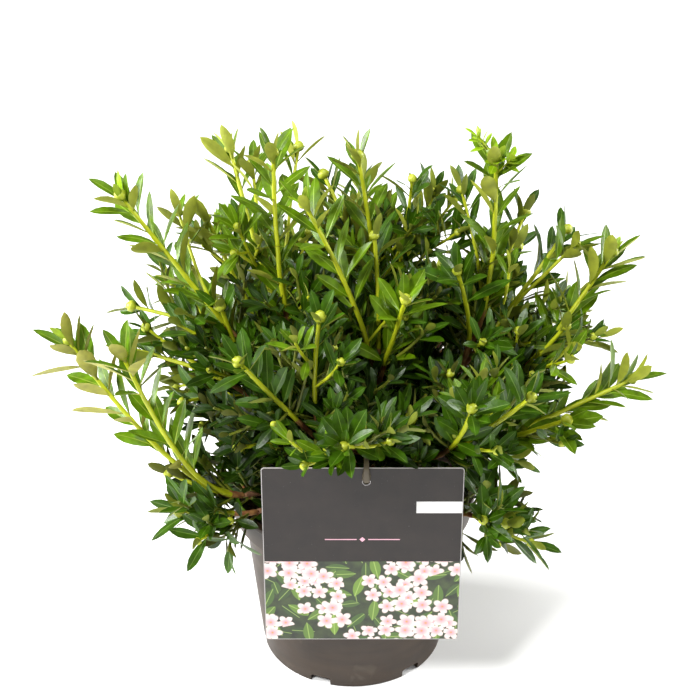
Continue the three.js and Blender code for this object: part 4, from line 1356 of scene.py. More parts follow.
class Print(Finish):
    """The label's picture: plain five-petalled blossoms and pointed leaves, strewn at random."""

    def times(self, first, second):
        return self.maths("MULTIPLY", first, second)

    def plus(self, first, second):
        return self.maths("ADD", first, second)

    def flat_place(self):
        """The card's own plane: x and z."""
        parts = self.node("ShaderNodeSeparateXYZ", {0: self.place}).outputs
        return self.node("ShaderNodeCombineXYZ", {"X": parts["X"], "Y": parts["Z"]}).outputs[0]

    def cells(self, plane, spacing_mm, shift, spread):
        """Each point's place in the nearest cell, in cell widths, the cell's centre and its random."""
        scale = 1 / (spacing_mm * MM)
        plane = self.node("ShaderNodeMapping", {
            "Vector": plane,
            "Scale": (scale, scale, scale),
            "Location": (shift, shift * SHIFT_ACROSS, 0),
        }).outputs[0]
        cell = self.node("ShaderNodeTexVoronoi", {"Vector": plane, "Scale": 1, "Randomness": spread},
                         voronoi_dimensions="2D").outputs
        away = self.node("ShaderNodeVectorMath", {0: plane, 1: cell["Position"]}, operation="SUBTRACT")
        local = self.node("ShaderNodeSeparateXYZ", {0: away.outputs[0]}).outputs
        random = self.node("ShaderNodeSeparateColor", {0: cell["Color"]}).outputs
        return local["X"], local["Y"], cell["Position"], random

    def edge(self, value, limit, softness):
        """1 where value is under the limit, 0 beyond it."""
        inputs = {"Value": value, "From Min": limit - softness, "From Max": limit + softness,
                  "To Min": 1, "To Max": 0}
        return self.node("ShaderNodeMapRange", inputs, interpolation_type="SMOOTHSTEP").outputs[0]

    def blossoms(self, plane, spacing_mm, shift, threshold, under):
        """A layer of blossoms over a colour, kept to the clusters that a slow noise picks."""
        heart, inner, outer, fold = (
            linear(COLOURS["petal_" + part]) for part in ("heart", "inner", "outer", "crease")
        )
        x, y, centre, random = self.cells(plane, spacing_mm, shift, BLOSSOM["spread"])
        radius = self.maths("SQRT", self.plus(self.times(x, x), self.times(y, y)))
        angle = self.plus(self.maths("ARCTAN2", y, x), self.times(random[0], FULL_TURN))
        wave = self.maths("COSINE", self.times(angle, BLOSSOM["lobes"]))
        lobe = self.maths("ABSOLUTE", wave)
        reach = self.maths("MULTIPLY_ADD", lobe, BLOSSOM["lobe"], BLOSSOM["core"])
        inside = self.edge(self.maths("DIVIDE", radius, reach), 1, BLOSSOM["edge"])
        cluster = self.noise(CLUSTER_SCALE, detail=0, vector=centre)
        picked = self.maths("GREATER_THAN", cluster, threshold)
        blush = self.ramp(radius, (BLOSSOM["heart"], heart), (BLOSSOM["inner"], inner),
                          (BLOSSOM["outer"], outer))
        crease = self.edge(lobe, BLOSSOM["crease"], BLOSSOM["crease_edge"])
        shaded = self.mix(self.times(crease, BLOSSOM["crease_shade"]), blush, fold)
        return self.mix(self.times(inside, picked), under, shaded)

    def leaves(self, plane, spacing_mm, shift, dark, light, under):
        """A layer of pointed leaves over a colour, each with a pale rib."""
        x, y, _, random = self.cells(plane, spacing_mm, shift, PRINTED_LEAF["spread"])
        angle = self.times(random[0], FULL_TURN)
        cosine, sine = self.maths("COSINE", angle), self.maths("SINE", angle)
        along = self.plus(self.times(x, cosine), self.times(y, sine))
        across = self.maths("SUBTRACT", self.times(y, cosine), self.times(x, sine))
        share = self.times(along, PRINTED_LEAF["shorter"])
        narrowing = self.maths("SUBTRACT", 1, self.times(share, share))
        half = self.times(narrowing, PRINTED_LEAF["half_width"])
        beside = self.maths("ABSOLUTE", across)
        inside = self.edge(self.maths("SUBTRACT", beside, half), 0, PRINTED_LEAF["edge"])
        body = self.mix(random[1], linear(dark), linear(light))
        rib = self.edge(beside, PRINTED_LEAF["rib"], PRINTED_LEAF["rib_edge"])
        rib_colour = linear(COLOURS["printed_rib"])
        drawn = self.mix(self.times(rib, PRINTED_LEAF["rib_shade"]), body, rib_colour)
        return self.mix(inside, under, drawn)


def picture_finish():
    finish = Print("label_picture_print", 0.4)
    plane = finish.flat_place()
    dark, light = linear(COLOURS["picture_dark"]), linear(COLOURS["picture_light"])
    layer = finish.ramp(finish.noise(120, detail=4), (0.3, dark), (0.75, light))
    for row in PRINTED_LEAVES:
        layer = finish.leaves(plane, *row, layer)
    for row in PRINTED_BLOSSOMS:
        layer = finish.blossoms(plane, *row, layer)
    finish.colour(layer)
    finish.bump(finish.noise(500, detail=2), 0.1, 0.05)
    return finish.material


# ---------------------------------------------------------------- foliage pieces

# Share of the length, half the width and the rib's half width as shares of the widest.
LEAF_OUTLINE = (
    (0.0, 0.14, 0.1),
    (0.1, 0.17, 0.09),
    (0.27, 0.66, 0.075),
    (0.5, 0.97, 0.06),
    (0.71, 0.94, 0.05),
    (0.88, 0.57, 0.035),
    (1.0, 0.0, 0.0),
)
BLADE, RIB, LOWER = 0, 1, 2
LEAF_THICKNESS = 0.017
LEAF_FOLD = 0.05
RIB_SINK = 0.002
TWIST_RISE = 0.15  # how much a twisted blade's edges rise and fall
# Droop of the tip, fold of the blade and twist, for each kind of leaf.
LEAF_SHAPES = (
    (0.06, 0.9, 0.0),
    (0.16, 0.5, 0.25),
    (-0.03, 1.2, -0.2),
    (0.24, -0.3, 0.15),
    (0.1, 0.8, -0.35),
)


def leaf_shape(number, droop, fold, twist):
    """A closed leaf one unit long and one unit from rib to edge, its upper side to +Z.

    Both sides are cut along the same diagonals, so that a twisted blade stays whole."""
    shell = bmesh.new()
    part = shell.faces.layers.int.new("part")
    rows = []
    for share, width, rib in LEAF_OUTLINE:
        bend = -droop * share**2
        turn = twist * share

        def spot(x, z):
            lift = bend + z + TWIST_RISE * x * math.sin(turn)
            return shell.verts.new((x * math.cos(turn), share, lift))

        rise = LEAF_FOLD * fold * width
        rows.append([spot(0, 0)] * 5 if width == 0 else [
            spot(-width, rise),
            spot(-rib, -RIB_SINK),
            spot(rib, -RIB_SINK),
            spot(width, rise),
            spot(0, -LEAF_THICKNESS),
        ])

    def cover(corners, kind):
        corners = list(dict.fromkeys(corners))
        if len(corners) > 2:
            face = shell.faces.new(corners)
            face[part], face.smooth = kind, True

    for i, (low, high) in enumerate(zip(rows, rows[1:])):
        blade = RIB if i == 0 else BLADE
        for edge, middle, kind in ((0, 1, blade), (3, 2, blade), (0, 4, LOWER), (3, 4, LOWER)):
            cover((low[edge], low[middle], high[middle]), kind)
            cover((low[edge], high[middle], high[edge]), kind)
        cover((low[1], low[2], high[2], high[1]), RIB)
    cover(rows[0], RIB)
    bmesh.ops.recalc_face_normals(shell, faces=shell.faces)
    for low, high in zip(rows, rows[1:]):
        for k in (0, 3):
            shell.edges.get((low[k], high[k])).smooth = False
    return shell_object(f"leaf_shape_{number}", shell)


BUD = {"sides": 10, "rows": 7, "first_row": 0.35, "fat_low": 0.85, "blunt": 0.7, "scale_out": 0.09,
       "scale_in": -0.03, "sizes": (0.85, 1.12), "girth": 0.92, "set_back": 1.6}


def bud_shape():
    """A plump bud one unit long, its overlapping scales as steps in its outline."""
    sides, rows = BUD["sides"], BUD["rows"]
    vertices = []
    for row in range(rows):
        share = (row + BUD["first_row"]) / rows
        girth = math.sin(math.pi * share ** BUD["fat_low"]) ** BUD["blunt"]
        for k in range(sides):
            angle = 2 * math.pi * (k + 0.5 * (row % 2)) / sides
            scale = 1 + (BUD["scale_out"] if (k + row) % 2 else BUD["scale_in"])
            vertices.append((0.5 * girth * scale * math.cos(angle), share,
                             0.5 * girth * scale * math.sin(angle)))
    piece = outward(mesh_object("bud_shape", vertices, ring_faces(rows, sides)))
    piece.data.attributes.new("part", "INT", "FACE")
    return piece


PIECE_LEAVES = 2900  # leaves to a piece, which keeps it well under the limit on triangles


def make_leaves(leaves):
    shapes = hidden_collection("leaf_shapes", [leaf_shape(n, *s) for n, s in enumerate(LEAF_SHAPES)])
    tree = spray_tree("leaf_sprays", ("Upper", "Rib", "Lower"))
    for tone in LEAF_TONES:
        own = [leaf for leaf in leaves if leaf["tone"] == tone]
        upper, rib, lower = blade_finish(tone), rib_finish(tone), lower_finish(tone)
        for number in range(math.ceil(len(own) / PIECE_LEAVES)):
            places = [
                {
                    "at": leaf["root"] * MM,
                    "turn": turn_to(leaf["along"], leaf["face"]),
                    "size": (leaf["half_width"] * MM, leaf["length"] * MM, leaf["length"] * MM),
                    "kind": leaf["kind"],
                }
                for leaf in own[number * PIECE_LEAVES : (number + 1) * PIECE_LEAVES]
            ]
            piece = point_cloud(f"leaves_{tone}_{number + 1}", places)
            run_tree(piece, tree, Shapes=shapes, Upper=upper, Rib=rib, Lower=lower)
            dressed(piece, None, "foliage", *MASS_NAMES)


STEM = {"sides": 7, "sway": 0.9, "sway_scale": 0.03, "knot": 1.09, "knot_every": 3, "full_from": 0.12,
        "spacing": 4.5, "leader_spacing": 3, "overlap": 0.01}


def stem_chain(shoot, low, high, spacing):
    """Points and radii along a stretch of a stem, a little wavy, with a swelling at each leaf."""
    length, fullness = shoot.curve.length(), SHOOT_KINDS[shoot.kind]["fullness"]
    count = max(3, round((high - low) * length / spacing))
    points, radii = [], []
    for i in range(count + 1):
        t = lerp(low, high, i / count)
        point = shoot.curve.point(t)
        wave = noise.noise_vector(point * STEM["sway_scale"])
        points.append((point + wave * (STEM["sway"] * math.sin(math.pi * t))) * MM)
        knot = STEM["knot"] if i % STEM["knot_every"] == 1 else 1
        swell = lerp(1, fullness, min(1, t / STEM["full_from"]))
        radii.append(shoot.radius_at(t) * swell * knot * MM)
    return points, radii


def chain_object(name, chains):
    """Edges along each chain of points, with a radius attribute."""
    points = [point for chain, _ in chains for point in chain]
    edges, start = [], 0
    for chain, _ in chains:
        edges += [(start + i, start + i + 1) for i in range(len(chain) - 1)]
        start += len(chain)
    mesh = bpy.data.meshes.new(name)
    mesh.from_pydata(points, edges, [])
    radii = [radius for _, own in chains for radius in own]
    mesh.attributes.new("radius", "FLOAT", "POINT").data.foreach_set("value", radii)
    return in_scene(name, mesh)


def is_shadowed(shoot):
    """Stems inside the crown get a duller, darker green, which paints the shade there: those with dark
    leaves, and thin ones with middling leaves.
    """
    thin = shoot.kind in ("fine", "twin", "inner")
    return shoot.kind != "leader" and (shoot.tone == "deep" or (thin and shoot.tone == "middle"))


def make_shoots(shoots):
    noise.seed_set(SEEDS["sway"])  # or the stems would sway otherwise each time
    green, shadowed, brown = [], [], []
    for shoot in shoots:
        split = min(SHOOT_KINDS[shoot.kind]["woody"], OLD_WOOD * shoot.free_from)
        spacing = STEM["leader_spacing"] if shoot.kind == "leader" else STEM["spacing"]
        # stems inside the crown take the darker green of painted shade
        group = shadowed if is_shadowed(shoot) else green
        group.append(stem_chain(shoot, split, 1, spacing))
        if split:
            brown.append(stem_chain(shoot, 0, split + STEM["overlap"], spacing))
    tree = shoot_tree()
    for name, chains, finish in (
        ("green_shoots", green, shoot_finish()),
        ("dull_shoots", shadowed, shoot_finish("dull_shoot")),
        ("woody_shoots", brown, wood_finish()),
    ):
        piece = chain_object(name, chains)
        run_tree(piece, tree, Sides=STEM["sides"], Finish=finish)
        dressed(piece, None, "foliage", *MASS_NAMES)


def make_buds(shoots):
    shapes = hidden_collection("bud_shapes", [bud_shape()])
    tree = spray_tree("buds", ("Scales",))
    places = []
    for index, shoot in enumerate(shoots):
        kind, draw = SHOOT_KINDS[shoot.kind], random_from(index + SEEDS["buds"])
        if not kind["bud"] or draw() > kind["budded"]:
            continue
        length = kind["bud"] * lerp(*BUD["sizes"], draw())
        width = length * BUD["girth"]
        _, along, _, side = shoot.curve.frame(1)
        places.append({
            "at": (shoot.curve.end - along * BUD["set_back"]) * MM,
            "turn": turn_to(along, side),
            "size": (width * MM, length * MM, width * MM),
            "kind": 0,
        })
    piece = point_cloud("buds", places)
    run_tree(piece, tree, Shapes=shapes, Scales=bud_finish())
    dressed(piece, None, "foliage", *MASS_NAMES)


# ---------------------------------------------------------------- trunk and boughs


BARK = {
    "trunk": {"sides": 40, "rows": 44, "relief": 0.7},
    "bough": {"sides": 14, "rows": 40, "relief": 0.28},
}
COLLAR = {"fuller": 0.3, "share": 0.05}  # where a bough leaves its parent
RIDGES = {"across": 0.5, "along": 0.14, "roughness": 0.9, "finer": 2, "octaves": 3}
RINGS = {"height": 0.35, "along": 0.9, "across": 0.3}


def bark_tube(limb, sides, rows, relief):
    """A limb with ridged bark, a collar at its root and its end closed."""
    vertices = []
    for row in range(rows):
        t = row / (rows - 1)
        point, _, across, side = limb.curve.frame(t)
        collar = 1 + COLLAR["fuller"] * math.exp(-t / COLLAR["share"]) * (limb.kind == "bough")
        radius = limb.radius_at(t) * collar
        for k in range(sides):
            angle = 2 * math.pi * k / sides
            outwards = across * math.cos(angle) + side * math.sin(angle)
            spot = point + outwards * radius
            grooves = Vector((spot.x * RIDGES["across"], spot.y * RIDGES["across"],
                              spot.z * RIDGES["along"]))
            ridge = noise.fractal(grooves, RIDGES["roughness"], RIDGES["finer"], RIDGES["octaves"])
            level = spot.z * RINGS["along"] + spot.x * RINGS["across"]
            ring = RINGS["height"] * noise.noise(Vector((0, 0, level)))
            vertices.append((point + outwards * (radius + relief * (ridge + ring))) * MM)
    return vertices, ring_faces(rows, sides)


def make_bark(limbs):
    vertices, faces = [], []
    for limb in limbs.values():
        own, own_faces = bark_tube(limb, **BARK[limb.kind])
        faces += [tuple(len(vertices) + corner for corner in face) for face in own_faces]
        vertices += own
    piece = outward(mesh_object("bark", vertices, faces))
    dressed(piece, bark_finish(), "bark", *limbs)


# ---------------------------------------------------------------- pot and compost


POCKET = {"let_in": 0.8, "past": 4}  # of the pot's wall, and times the extra
NOTCH_LOW = -5  # the blocks that cut the notches start under the pot
WELD = 1e-6  # points so near are one, in metres
SOIL = {"sides": 110, "rings": 34, "dome": 3, "over_band": 1}
CRUMBS = {"depth": 4, "from_edge": 0.5, "scale": 160, "roughness": 0.8, "finer": 2.2, "octaves": 4,
          "height": 1.6, "sunk": 0.6}
CHIPS = {"count": 330, "from_edge": 7, "from_trunk": 16, "sizes": (4, 11), "tilt": 0.5, "proud": 0.6,
         "kinds": 3}
CHIP_SHAPE = {"width": 0.5, "narrowing": 0.5, "thickness": 0.22, "uneven": 0.12}
STAKE_FOOT = {"room": 9, "back": -76, "front": -96}  # no chips beside the stake's slot


def rounded(corners, radius, steps=4):
    """An outline with its inner corners rounded: (r, z) pairs, the first and last left sharp."""
    outline = [corners[0]]
    for before, corner, after in zip(corners, corners[1:], corners[2:]):
        here = Vector(corner)
        back, on = Vector(before) - here, Vector(after) - here
        size = min(radius, back.length * 0.45, on.length * 0.45)
        arc = Curve((here + back.normalized() * size).to_3d(), here.to_3d(),
                    (here + on.normalized() * size).to_3d())
        outline += [tuple(point.to_2d()) for point in arc.points(steps)]
    return outline + [corners[-1]]


def turned(name, profile, sides):
    """A profile from the axis and back to it, turned round +Z into a closed shell."""
    rings = [(radius, z) for radius, z in profile if radius > 1e-6]
    vertices = [(0, 0, profile[0][1] * MM)]
    for radius, z in rings:
        for k in range(sides):
            angle = 2 * math.pi * k / sides
            vertices.append((radius * math.cos(angle) * MM, radius * math.sin(angle) * MM, z * MM))
    vertices.append((0, 0, profile[-1][1] * MM))
    faces = [tuple(1 + corner for corner in face) for face in ring_faces(len(rings), sides, False)]
    last, first = len(vertices) - 1, 1 + (len(rings) - 1) * sides
    for k in range(sides):
        faces.append((0, 1 + (k + 1) % sides, 1 + k))
        faces.append((last, first + k, first + (k + 1) % sides))
    return outward(mesh_object(name, vertices, faces))


def pot_profile():
    height, band = POT_HIGH.z, POT_HIGH.z - POT["band_height"]
    base, shoulder = POT["base_radius"], POT["shoulder_radius"]
    band_foot, rim, wall = POT["band_bottom_radius"], POT["rim_radius"], POT["wall"]
    ledge = band + BAND_STEP["up"]
    outside = [
        (0, 0),
        (base - FOOT_CHAMFER[0], 0),
        (base, FOOT_CHAMFER[1]),
        (shoulder, band - BAND_STEP["below"]),
        (shoulder + BAND_STEP["out"], band),
        (band_foot, ledge),
        (lerp(band_foot, rim, RIM_BEAD["share"]) - RIM_BEAD["in"], height - RIM_BEAD["foot"]),
        (rim, height - RIM_BEAD["top"]),
        (rim, height),
        (rim - POT["lip"], height),
        (rim - POT["lip"], height - POT["lip_depth"]),
        (band_foot - wall, ledge + wall),
        (shoulder - wall, band + wall),
        (base - wall, POT["floor"]),
        (0, POT["floor"]),
    ]
    return rounded(outside, POT["rounding"])


def drain_blocks(name, inner, outer, half, low, high):
    """Six blocks round the foot, their upper corners cut off, as one mesh."""
    vertices, faces, cut = [], [], POT["drain_corner"]
    outline = [(-half, low), (half, low), (half, high - cut), (half - cut, high), (-half + cut, high),
               (-half, high - cut)]
    for drain in range(POT["drains"]):
        turn = Matrix.Rotation(math.radians(POT["first_drain"] + drain * 360 / POT["drains"]), 3, "Z")
        start = len(vertices)
        for reach in (inner, outer):
            vertices += [turn @ Vector((reach, y, z)) * MM for y, z in outline]
        faces += [tuple(start + corner for corner in face) for face in ring_faces(2, len(outline))]
    return outward(mesh_object(name, vertices, faces, smooth=False))


def drain_pockets(name, low, extra):
    """The pockets behind the drain notches, with a wall round each, let into the pot's own wall."""
    grown = POT["wall"] + extra
    inner = POT["base_radius"] - POT["drain_depth"] - grown
    outer = POT["base_radius"] - POCKET["let_in"] * POT["wall"] + POCKET["past"] * extra
    half, high = POT["drain_width"] / 2 + grown, POT["drain_height"] + grown
    return drain_blocks(name, inner, outer, half, low, high)


def combine(piece, operation, other):
    """Adds another mesh to a piece or cuts it out, and removes it."""
    change = piece.modifiers.new("change", "BOOLEAN")
    change.operation, change.object, change.solver = operation, other, "EXACT"
    settled(piece)
    bpy.data.objects.remove(other)


def make_pot():
    piece = turned("nursery_pot", pot_profile(), POT["sides"])
    combine(piece, "UNION", drain_pockets("pockets", POT["floor"] / 2, 0))
    inner, outer = POT["base_radius"] - POT["drain_depth"], POT["base_radius"] + POT["drain_depth"]
    half, high = POT["drain_width"] / 2, POT["drain_height"]
    combine(piece, "DIFFERENCE", drain_blocks("notches", inner, outer, half, NOTCH_LOW, high))
    creased(outward(piece, merge=WELD), POT["crease"])
    dressed(piece, pot_finish(), "pot", "pot")


def make_soil():
    """The root ball, its top a little domed and crumbly."""
    wall, rings, top = POT["wall"] + GAP, SOIL["rings"], SOIL_HIGH.z
    edge = POT["band_bottom_radius"] - wall
    band = POT_HIGH.z - POT["band_height"]
    profile = [
        (0, SOIL_LOW.z),
        (POT["base_radius"] - wall, SOIL_LOW.z),
        (POT["shoulder_radius"] - wall, band + wall),
        (edge, band + SOIL["over_band"] + wall),
        *((edge * (1 - i / rings), lerp(top - SOIL["dome"], top, i / rings)) for i in range(rings)),
        (0, top),
    ]
    piece = turned("compost", profile, SOIL["sides"])
    combine(piece, "DIFFERENCE", drain_pockets("pocket_room", 0, GAP))
    outward(piece, merge=WELD)
    low, reach = (top - CRUMBS["depth"]) * MM, (edge - CRUMBS["from_edge"]) * MM
    for vertex in piece.data.vertices:
        if vertex.co.z > low and vertex.co.to_2d().length < reach:
            crumbs = noise.fractal(vertex.co * CRUMBS["scale"], CRUMBS["roughness"], CRUMBS["finer"],
                                   CRUMBS["octaves"])
            vertex.co.z += (CRUMBS["height"] * crumbs - CRUMBS["sunk"]) * MM
    dressed(piece, soil_finish(), "soil", "root_ball")
    return edge


def chip_shape(number):
    """A split flake of bark, one unit long."""
    draw = random_from(number + SEEDS["chip_shape"])
    shell = bmesh.new()
    bmesh.ops.create_cube(shell, size=1)
    bmesh.ops.subdivide_edges(shell, edges=shell.edges, cuts=1, use_grid_fill=True)
    for vertex in shell.verts:
        narrow = 1 - CHIP_SHAPE["narrowing"] * abs(vertex.co.y)
        vertex.co.x *= CHIP_SHAPE["width"] * narrow
        vertex.co.z *= CHIP_SHAPE["thickness"]
        vertex.co += Vector((draw() - 0.5, draw() - 0.5, draw() - 0.5)) * CHIP_SHAPE["uneven"]
    shell.faces.layers.int.new("part")
    return shell_object(f"chip_shape_{number}", shell)


def touches_stake_foot(spot):
    beside = abs(spot.x - STAKE_LOW.x) < STAKE_FOOT["room"]
    return beside and STAKE_FOOT["front"] < spot.y < STAKE_FOOT["back"]


def make_chips(edge):
    """Flakes of bark strewn on the compost, evenly from the trunk to the pot."""
    kinds, count = CHIPS["kinds"], CHIPS["count"]
    shapes = hidden_collection("chip_shapes", [chip_shape(number) for number in range(kinds)])
    tree = spray_tree("bark_chips", ("Chip",))
    draw = random_from(SEEDS["chips"])
    places = []
    for i in range(count):
        reach = (edge - CHIPS["from_edge"]) * math.sqrt((i + 0.5) / count)
        spot = heading(math.degrees(i * GOLDEN_ANGLE)) * reach
        if reach < CHIPS["from_trunk"] or touches_stake_foot(spot):
            continue
        size = lerp(*CHIPS["sizes"], draw() ** 2)
        turn = Matrix.Rotation(draw() * FULL_TURN, 3, "Z")
        turn @= Matrix.Rotation(lerp(-CHIPS["tilt"], CHIPS["tilt"], draw()), 3, "X")
        height = SOIL_HIGH.z - SOIL["dome"] * reach / edge + CHIPS["proud"]
        places.append({
            "at": (spot + Vector((0, 0, height))) * MM,
            "turn": turn.to_quaternion(),
            "size": (size * MM, size * MM, size * MM),
            "kind": int(draw() * kinds),
        })
    piece = point_cloud("bark_chips", places)
    run_tree(piece, tree, Shapes=shapes, Chip=chip_finish())
    dressed(piece, None, "soil")


# ---------------------------------------------------------------- label and stake

LABEL = {"corner": 3, "edge": 0.6, "bevel": 0.12, "picture_top": 167, "hole_x": 11, "hole_radius": 3,
         "hole_drop": 14, "hole_rim": 0.5}
STRIP = {"left": 52, "bottom": 217, "height": 11.6, "from_edge": 0.4}
RULE = {"width": 62, "height": 0.9, "z": 190, "diamond": 2.4}
INK = 0.08  # how far the printed parts stand before the card
STAKE = {"width": 4, "thickness": 2, "foot_y": -82, "back_y": -97, "arch": 10, "arch_z": 260,
         "root": 50, "point": 6, "peg_drop": 0.45, "peg_height": 1.2, "peg_past": 1.2,
         "chin": (0.5, 0.4), "swell": 1.2, "rounding": 0.5, "crease": 40, "arch_steps": 16}
# Half width of the stake's tongue against its height above the peg's top.
TONGUE = ((-1.2, 1.5), (-0.4, 2.1), (1.6, 3.0), (5.0, 3.1), (8.5, 2.3))


def arc(centre_x, centre_z, radius, start, stop, steps=6):
    angles = [math.radians(lerp(start, stop, i / steps)) for i in range(steps + 1)]
    return [(centre_x + radius * math.cos(a), centre_z + radius * math.sin(a)) for a in angles]


def rounded_rectangle(left, bottom, right, top, radius):
    return (
        arc(right - radius, bottom + radius, radius, -90, 0)
        + arc(right - radius, top - radius, radius, 0, 90)
        + arc(left + radius, top - radius, radius, 90, 180)
        + arc(left + radius, bottom + radius, radius, 180, 270)
    )


def rectangle(left, bottom, right, top):
    return [(left, bottom), (right, bottom), (right, top), (left, top)]


def hole_outline(extra=0):
    """The card's hole, wider by the extra."""
    radius = LABEL["hole_radius"] + extra
    return arc(LABEL["hole_x"], LABEL_HIGH.z - LABEL["hole_drop"], radius, 360, 12, 28)


def plate(name, loops, back_y, front_y, bevel=0):
    """A flat plate facing -Y from closed (x, z) outlines, the later ones holes."""
    curve = bpy.data.curves.new(name, "CURVE")
    curve.dimensions, curve.fill_mode = "2D", "BOTH"
    curve.extrude = (back_y - front_y) / 2 * MM - bevel * MM
    curve.bevel_depth, curve.bevel_resolution = bevel * MM, 1
    for loop in loops:
        spline = curve.splines.new("POLY")
        spline.points.add(len(loop) - 1)
        for point, (x, z) in zip(spline.points, loop):
            point.co = (x * MM, z * MM, 0, 1)
        spline.use_cyclic_u = True
    flat = in_scene(name + "_outline", curve)
    mesh = evaluated_mesh(flat)
    bpy.data.objects.remove(flat)
    upright = Matrix.Rotation(math.pi / 2, 4, "X")
    mesh.transform(Matrix.Translation((0, (back_y + front_y) / 2 * MM, 0)) @ upright)
    return outward(in_scene(name, mesh), merge=WELD)


def printed(name, loops, layer, finish):
    """A printed part of the card's face: layer 0 lies on the card, and layer 1 on that."""
    front = LABEL_LOW.y - layer * INK
    dressed(plate(name, loops, front, LABEL_LOW.y - (layer + 1) * INK), finish, "label")


def make_card():
    outline = rounded_rectangle(LABEL_LOW.x, LABEL_LOW.z, LABEL_HIGH.x, LABEL_HIGH.z, LABEL["corner"])
    loops = [outline, hole_outline()]
    card = plate("label_card_body", loops, LABEL_HIGH.y, LABEL_LOW.y, LABEL["bevel"])
    dressed(card, card_edge_finish(), "label", "label_card")


def make_card_prints():
    """The dark upper part, the picture under it and the plain back."""
    inset, split = LABEL["edge"], LABEL["picture_top"]
    left, right, radius = LABEL_LOW.x + inset, LABEL_HIGH.x - inset, LABEL["corner"] - inset
    bottom, top = LABEL_LOW.z + inset, LABEL_HIGH.z - inset
    upper = ([(left, split), (right, split)] + arc(right - radius, top - radius, radius, 0, 90)
             + arc(left + radius, top - radius, radius, 90, 180))
    lower = ([(right, split), (left, split)] + arc(left + radius, bottom + radius, radius, 180, 270)
             + arc(right - radius, bottom + radius, radius, -90, 0))
    printed("label_upper_print", [upper, hole_outline(LABEL["hole_rim"])], 0, card_finish())
    printed("label_picture", [lower], 0, picture_finish())
    loops = [rounded_rectangle(left, bottom, right, top, radius), hole_outline()]
    back = plate("label_back_print", loops, LABEL_HIGH.y + INK, LABEL_HIGH.y)
    dressed(back, card_finish(), "label")


def make_strip_and_rule():
    """The light strip, and a thin rule with a diamond in its middle."""
    top, right = STRIP["bottom"] + STRIP["height"], LABEL_HIGH.x - STRIP["from_edge"]
    strip = rectangle(STRIP["left"], STRIP["bottom"], right, top)
    printed("label_strip", [strip], 1, strip_finish())
    middle, half_height = (LABEL_LOW.x + LABEL_HIGH.x) / 2, RULE["height"] / 2
    z, size, half = RULE["z"], RULE["diamond"], RULE["width"] / 2
    for side, start, stop in (("left", -half, -size * 2), ("right", size * 2, half)):
        line = rectangle(middle + start, z - half_height, middle + stop, z + half_height)
        printed(f"label_rule_{side}", [line], 1, rule_finish())
    diamond = [(middle - size, z), (middle, z - size), (middle + size, z), (middle, z + size)]
    printed("label_diamond", [diamond], 1, rule_finish())


def make_label():
    make_card()
    make_card_prints()
    make_strip_and_rule()


def stake_back_at(z):
    foot = SOIL_TOP - STAKE["root"]
    return lerp(STAKE["foot_y"], STAKE["back_y"], (z - foot) / (STAKE["arch_z"] - foot))


def peg_top():
    """The height at which the peg's upper corners meet the hole, less its play."""
    hole_half = math.sqrt(LABEL["hole_radius"] ** 2 - (STAKE["width"] / 2) ** 2)
    return LABEL_HIGH.z - LABEL["hole_drop"] + hole_half - STAKE["peg_drop"]


def stake_outline():
    """Side view of the stake as (distance in front of the axis, z)."""
    thickness, radius, arch_z = STAKE["thickness"], STAKE["arch"], STAKE["arch_z"]
    middle = -STAKE["back_y"] + radius
    outer = -STAKE["back_y"] + 2 * radius
    inner, steps = outer - thickness, STAKE["arch_steps"]
    peg, peg_end = peg_top(), -LABEL_HIGH.y - STAKE["peg_past"]
    peg_foot, chin = peg - STAKE["peg_height"], STAKE["chin"]
    foot = SOIL_TOP - STAKE["root"]
    neck = foot + STAKE["point"]
    levels = [peg + height for height, _ in TONGUE if height > 0]
    return (
        [(-stake_back_at(foot) + thickness / 2, foot), (-stake_back_at(neck) + thickness, neck)]
        + arc(middle, arch_z, radius - thickness, 180, 0, steps)
        + [(inner, z) for z in reversed(levels)]
        + [(inner, peg), (peg_end, peg), (peg_end, peg_foot), (outer - chin[0], peg_foot),
           (outer, peg - chin[1])]
        + [(outer, z) for z in levels]
        + arc(middle, arch_z, radius, 0, 180, steps)
        + [(-stake_back_at(neck), neck)]
    )


def stake_half_width(ahead, z):
    """The upright and arch are even; the tongue before the card swells, then narrows to the peg."""
    half = STAKE["width"] / 2
    if ahead < STAKE["arch"] - STAKE["back_y"] or z > STAKE["arch_z"]:
        return half
    heights, halves = zip(*TONGUE)
    return min(float(np.interp(z - peg_top(), heights, halves)), half + STAKE["swell"])


def make_stake():
    outline = stake_outline()
    vertices = [Vector((LABEL["hole_x"] + hand * stake_half_width(ahead, z), -ahead, z)) * MM
                for hand in (-1, 1) for ahead, z in outline]
    faces = ring_faces(2, len(outline))
    piece = outward(mesh_object("label_stake_body", vertices, faces, smooth=False))
    soften = piece.modifiers.new("soften", "BEVEL")
    soften.width, soften.segments, soften.limit_method = STAKE["rounding"] * MM, 3, "ANGLE"
    soften.angle_limit = math.radians(STAKE["crease"])
    creased(settled(piece), STAKE["crease"])
    dressed(piece, stake_finish(), "stake", "label_stake")


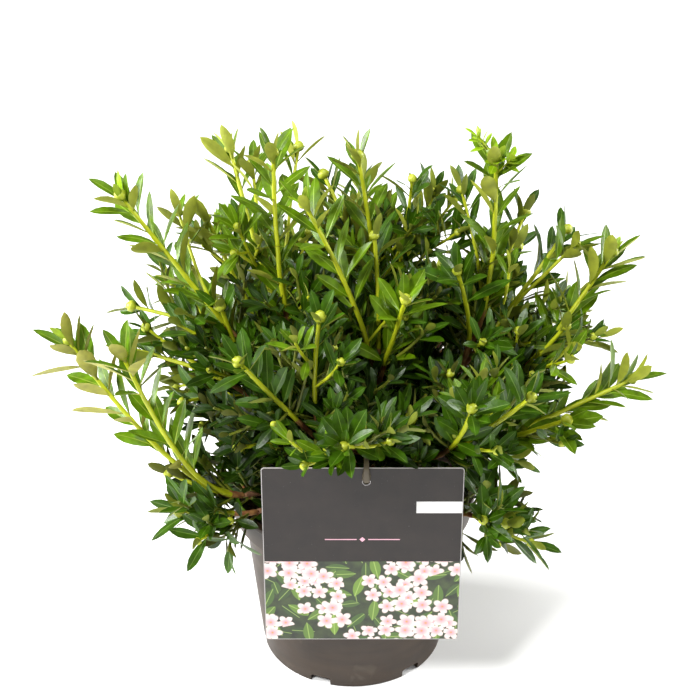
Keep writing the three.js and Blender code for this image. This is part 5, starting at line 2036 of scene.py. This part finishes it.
# ---------------------------------------------------------------- light, floor and camera


FLOOR_HALF = 4  # metres
# Soft square lights: place and size in metres, and power in watts.
LIGHTS = {
    "key": ((-1.2, -1.6, 2.2), 0.5, 82),
    "fill": ((1.7, -1.2, 1.5), 1.6, 16),
    "top": ((0.1, 0.2, 2.4), 1.0, 34),
    "left_side": ((-1.9, 0.2, 0.9), 0.7, 76),
    "right_side": ((1.9, 0.4, 0.8), 0.7, 44),
}
LIGHT_AIM = Vector((0, 0, 0.28))  # the middle of the crown, in metres
DAYLIGHT = 0.18


def make_floor():
    half = FLOOR_HALF
    corners = [(-half, -half, 0), (half, -half, 0), (half, half, 0), (-half, half, 0)]
    floor = mesh_object("floor", corners, [(0, 1, 2, 3)])
    floor.data.materials.append(floor_finish())


def make_lights():
    for name, (place, size, power) in LIGHTS.items():
        lamp = bpy.data.lights.new(name, "AREA")
        lamp.energy, lamp.size = power, size
        light = in_scene(name, lamp)
        light.location = place
        aim = LIGHT_AIM - Vector(place)
        light.rotation_euler = aim.to_track_quat("-Z", "Y").to_euler()
    world = bpy.data.worlds.new("studio")
    world.use_nodes = True
    background = world.node_tree.nodes["Background"].inputs
    background["Color"].default_value = WHITE
    background["Strength"].default_value = DAYLIGHT
    bpy.context.scene.world = world


def make_camera():
    camera = in_scene("camera", bpy.data.cameras.new("camera"))
    camera.data.lens, camera.data.sensor_width = CAMERA["lens"], CAMERA["sensor"]
    camera.location = Vector(CAMERA["place"]) * MM
    camera.rotation_euler = (math.radians(90 - CAMERA["down"]), 0, 0)
    bpy.context.scene.camera = camera


# ---------------------------------------------------------------- the whole scene


def build():
    make_camera()
    make_lights()
    make_floor()
    limbs, shoots = grow_plant()
    leaves = grow_leaves(shoots, limbs)
    leaves += grow_fresh_tips(shoots)
    make_leaves(leaves)
    make_shoots(shoots)
    make_buds(shoots)
    make_bark(limbs)
    make_pot()
    make_chips(make_soil())
    make_label()
    make_stake()
    bpy.context.scene.view_settings.view_transform = "Standard"


build()
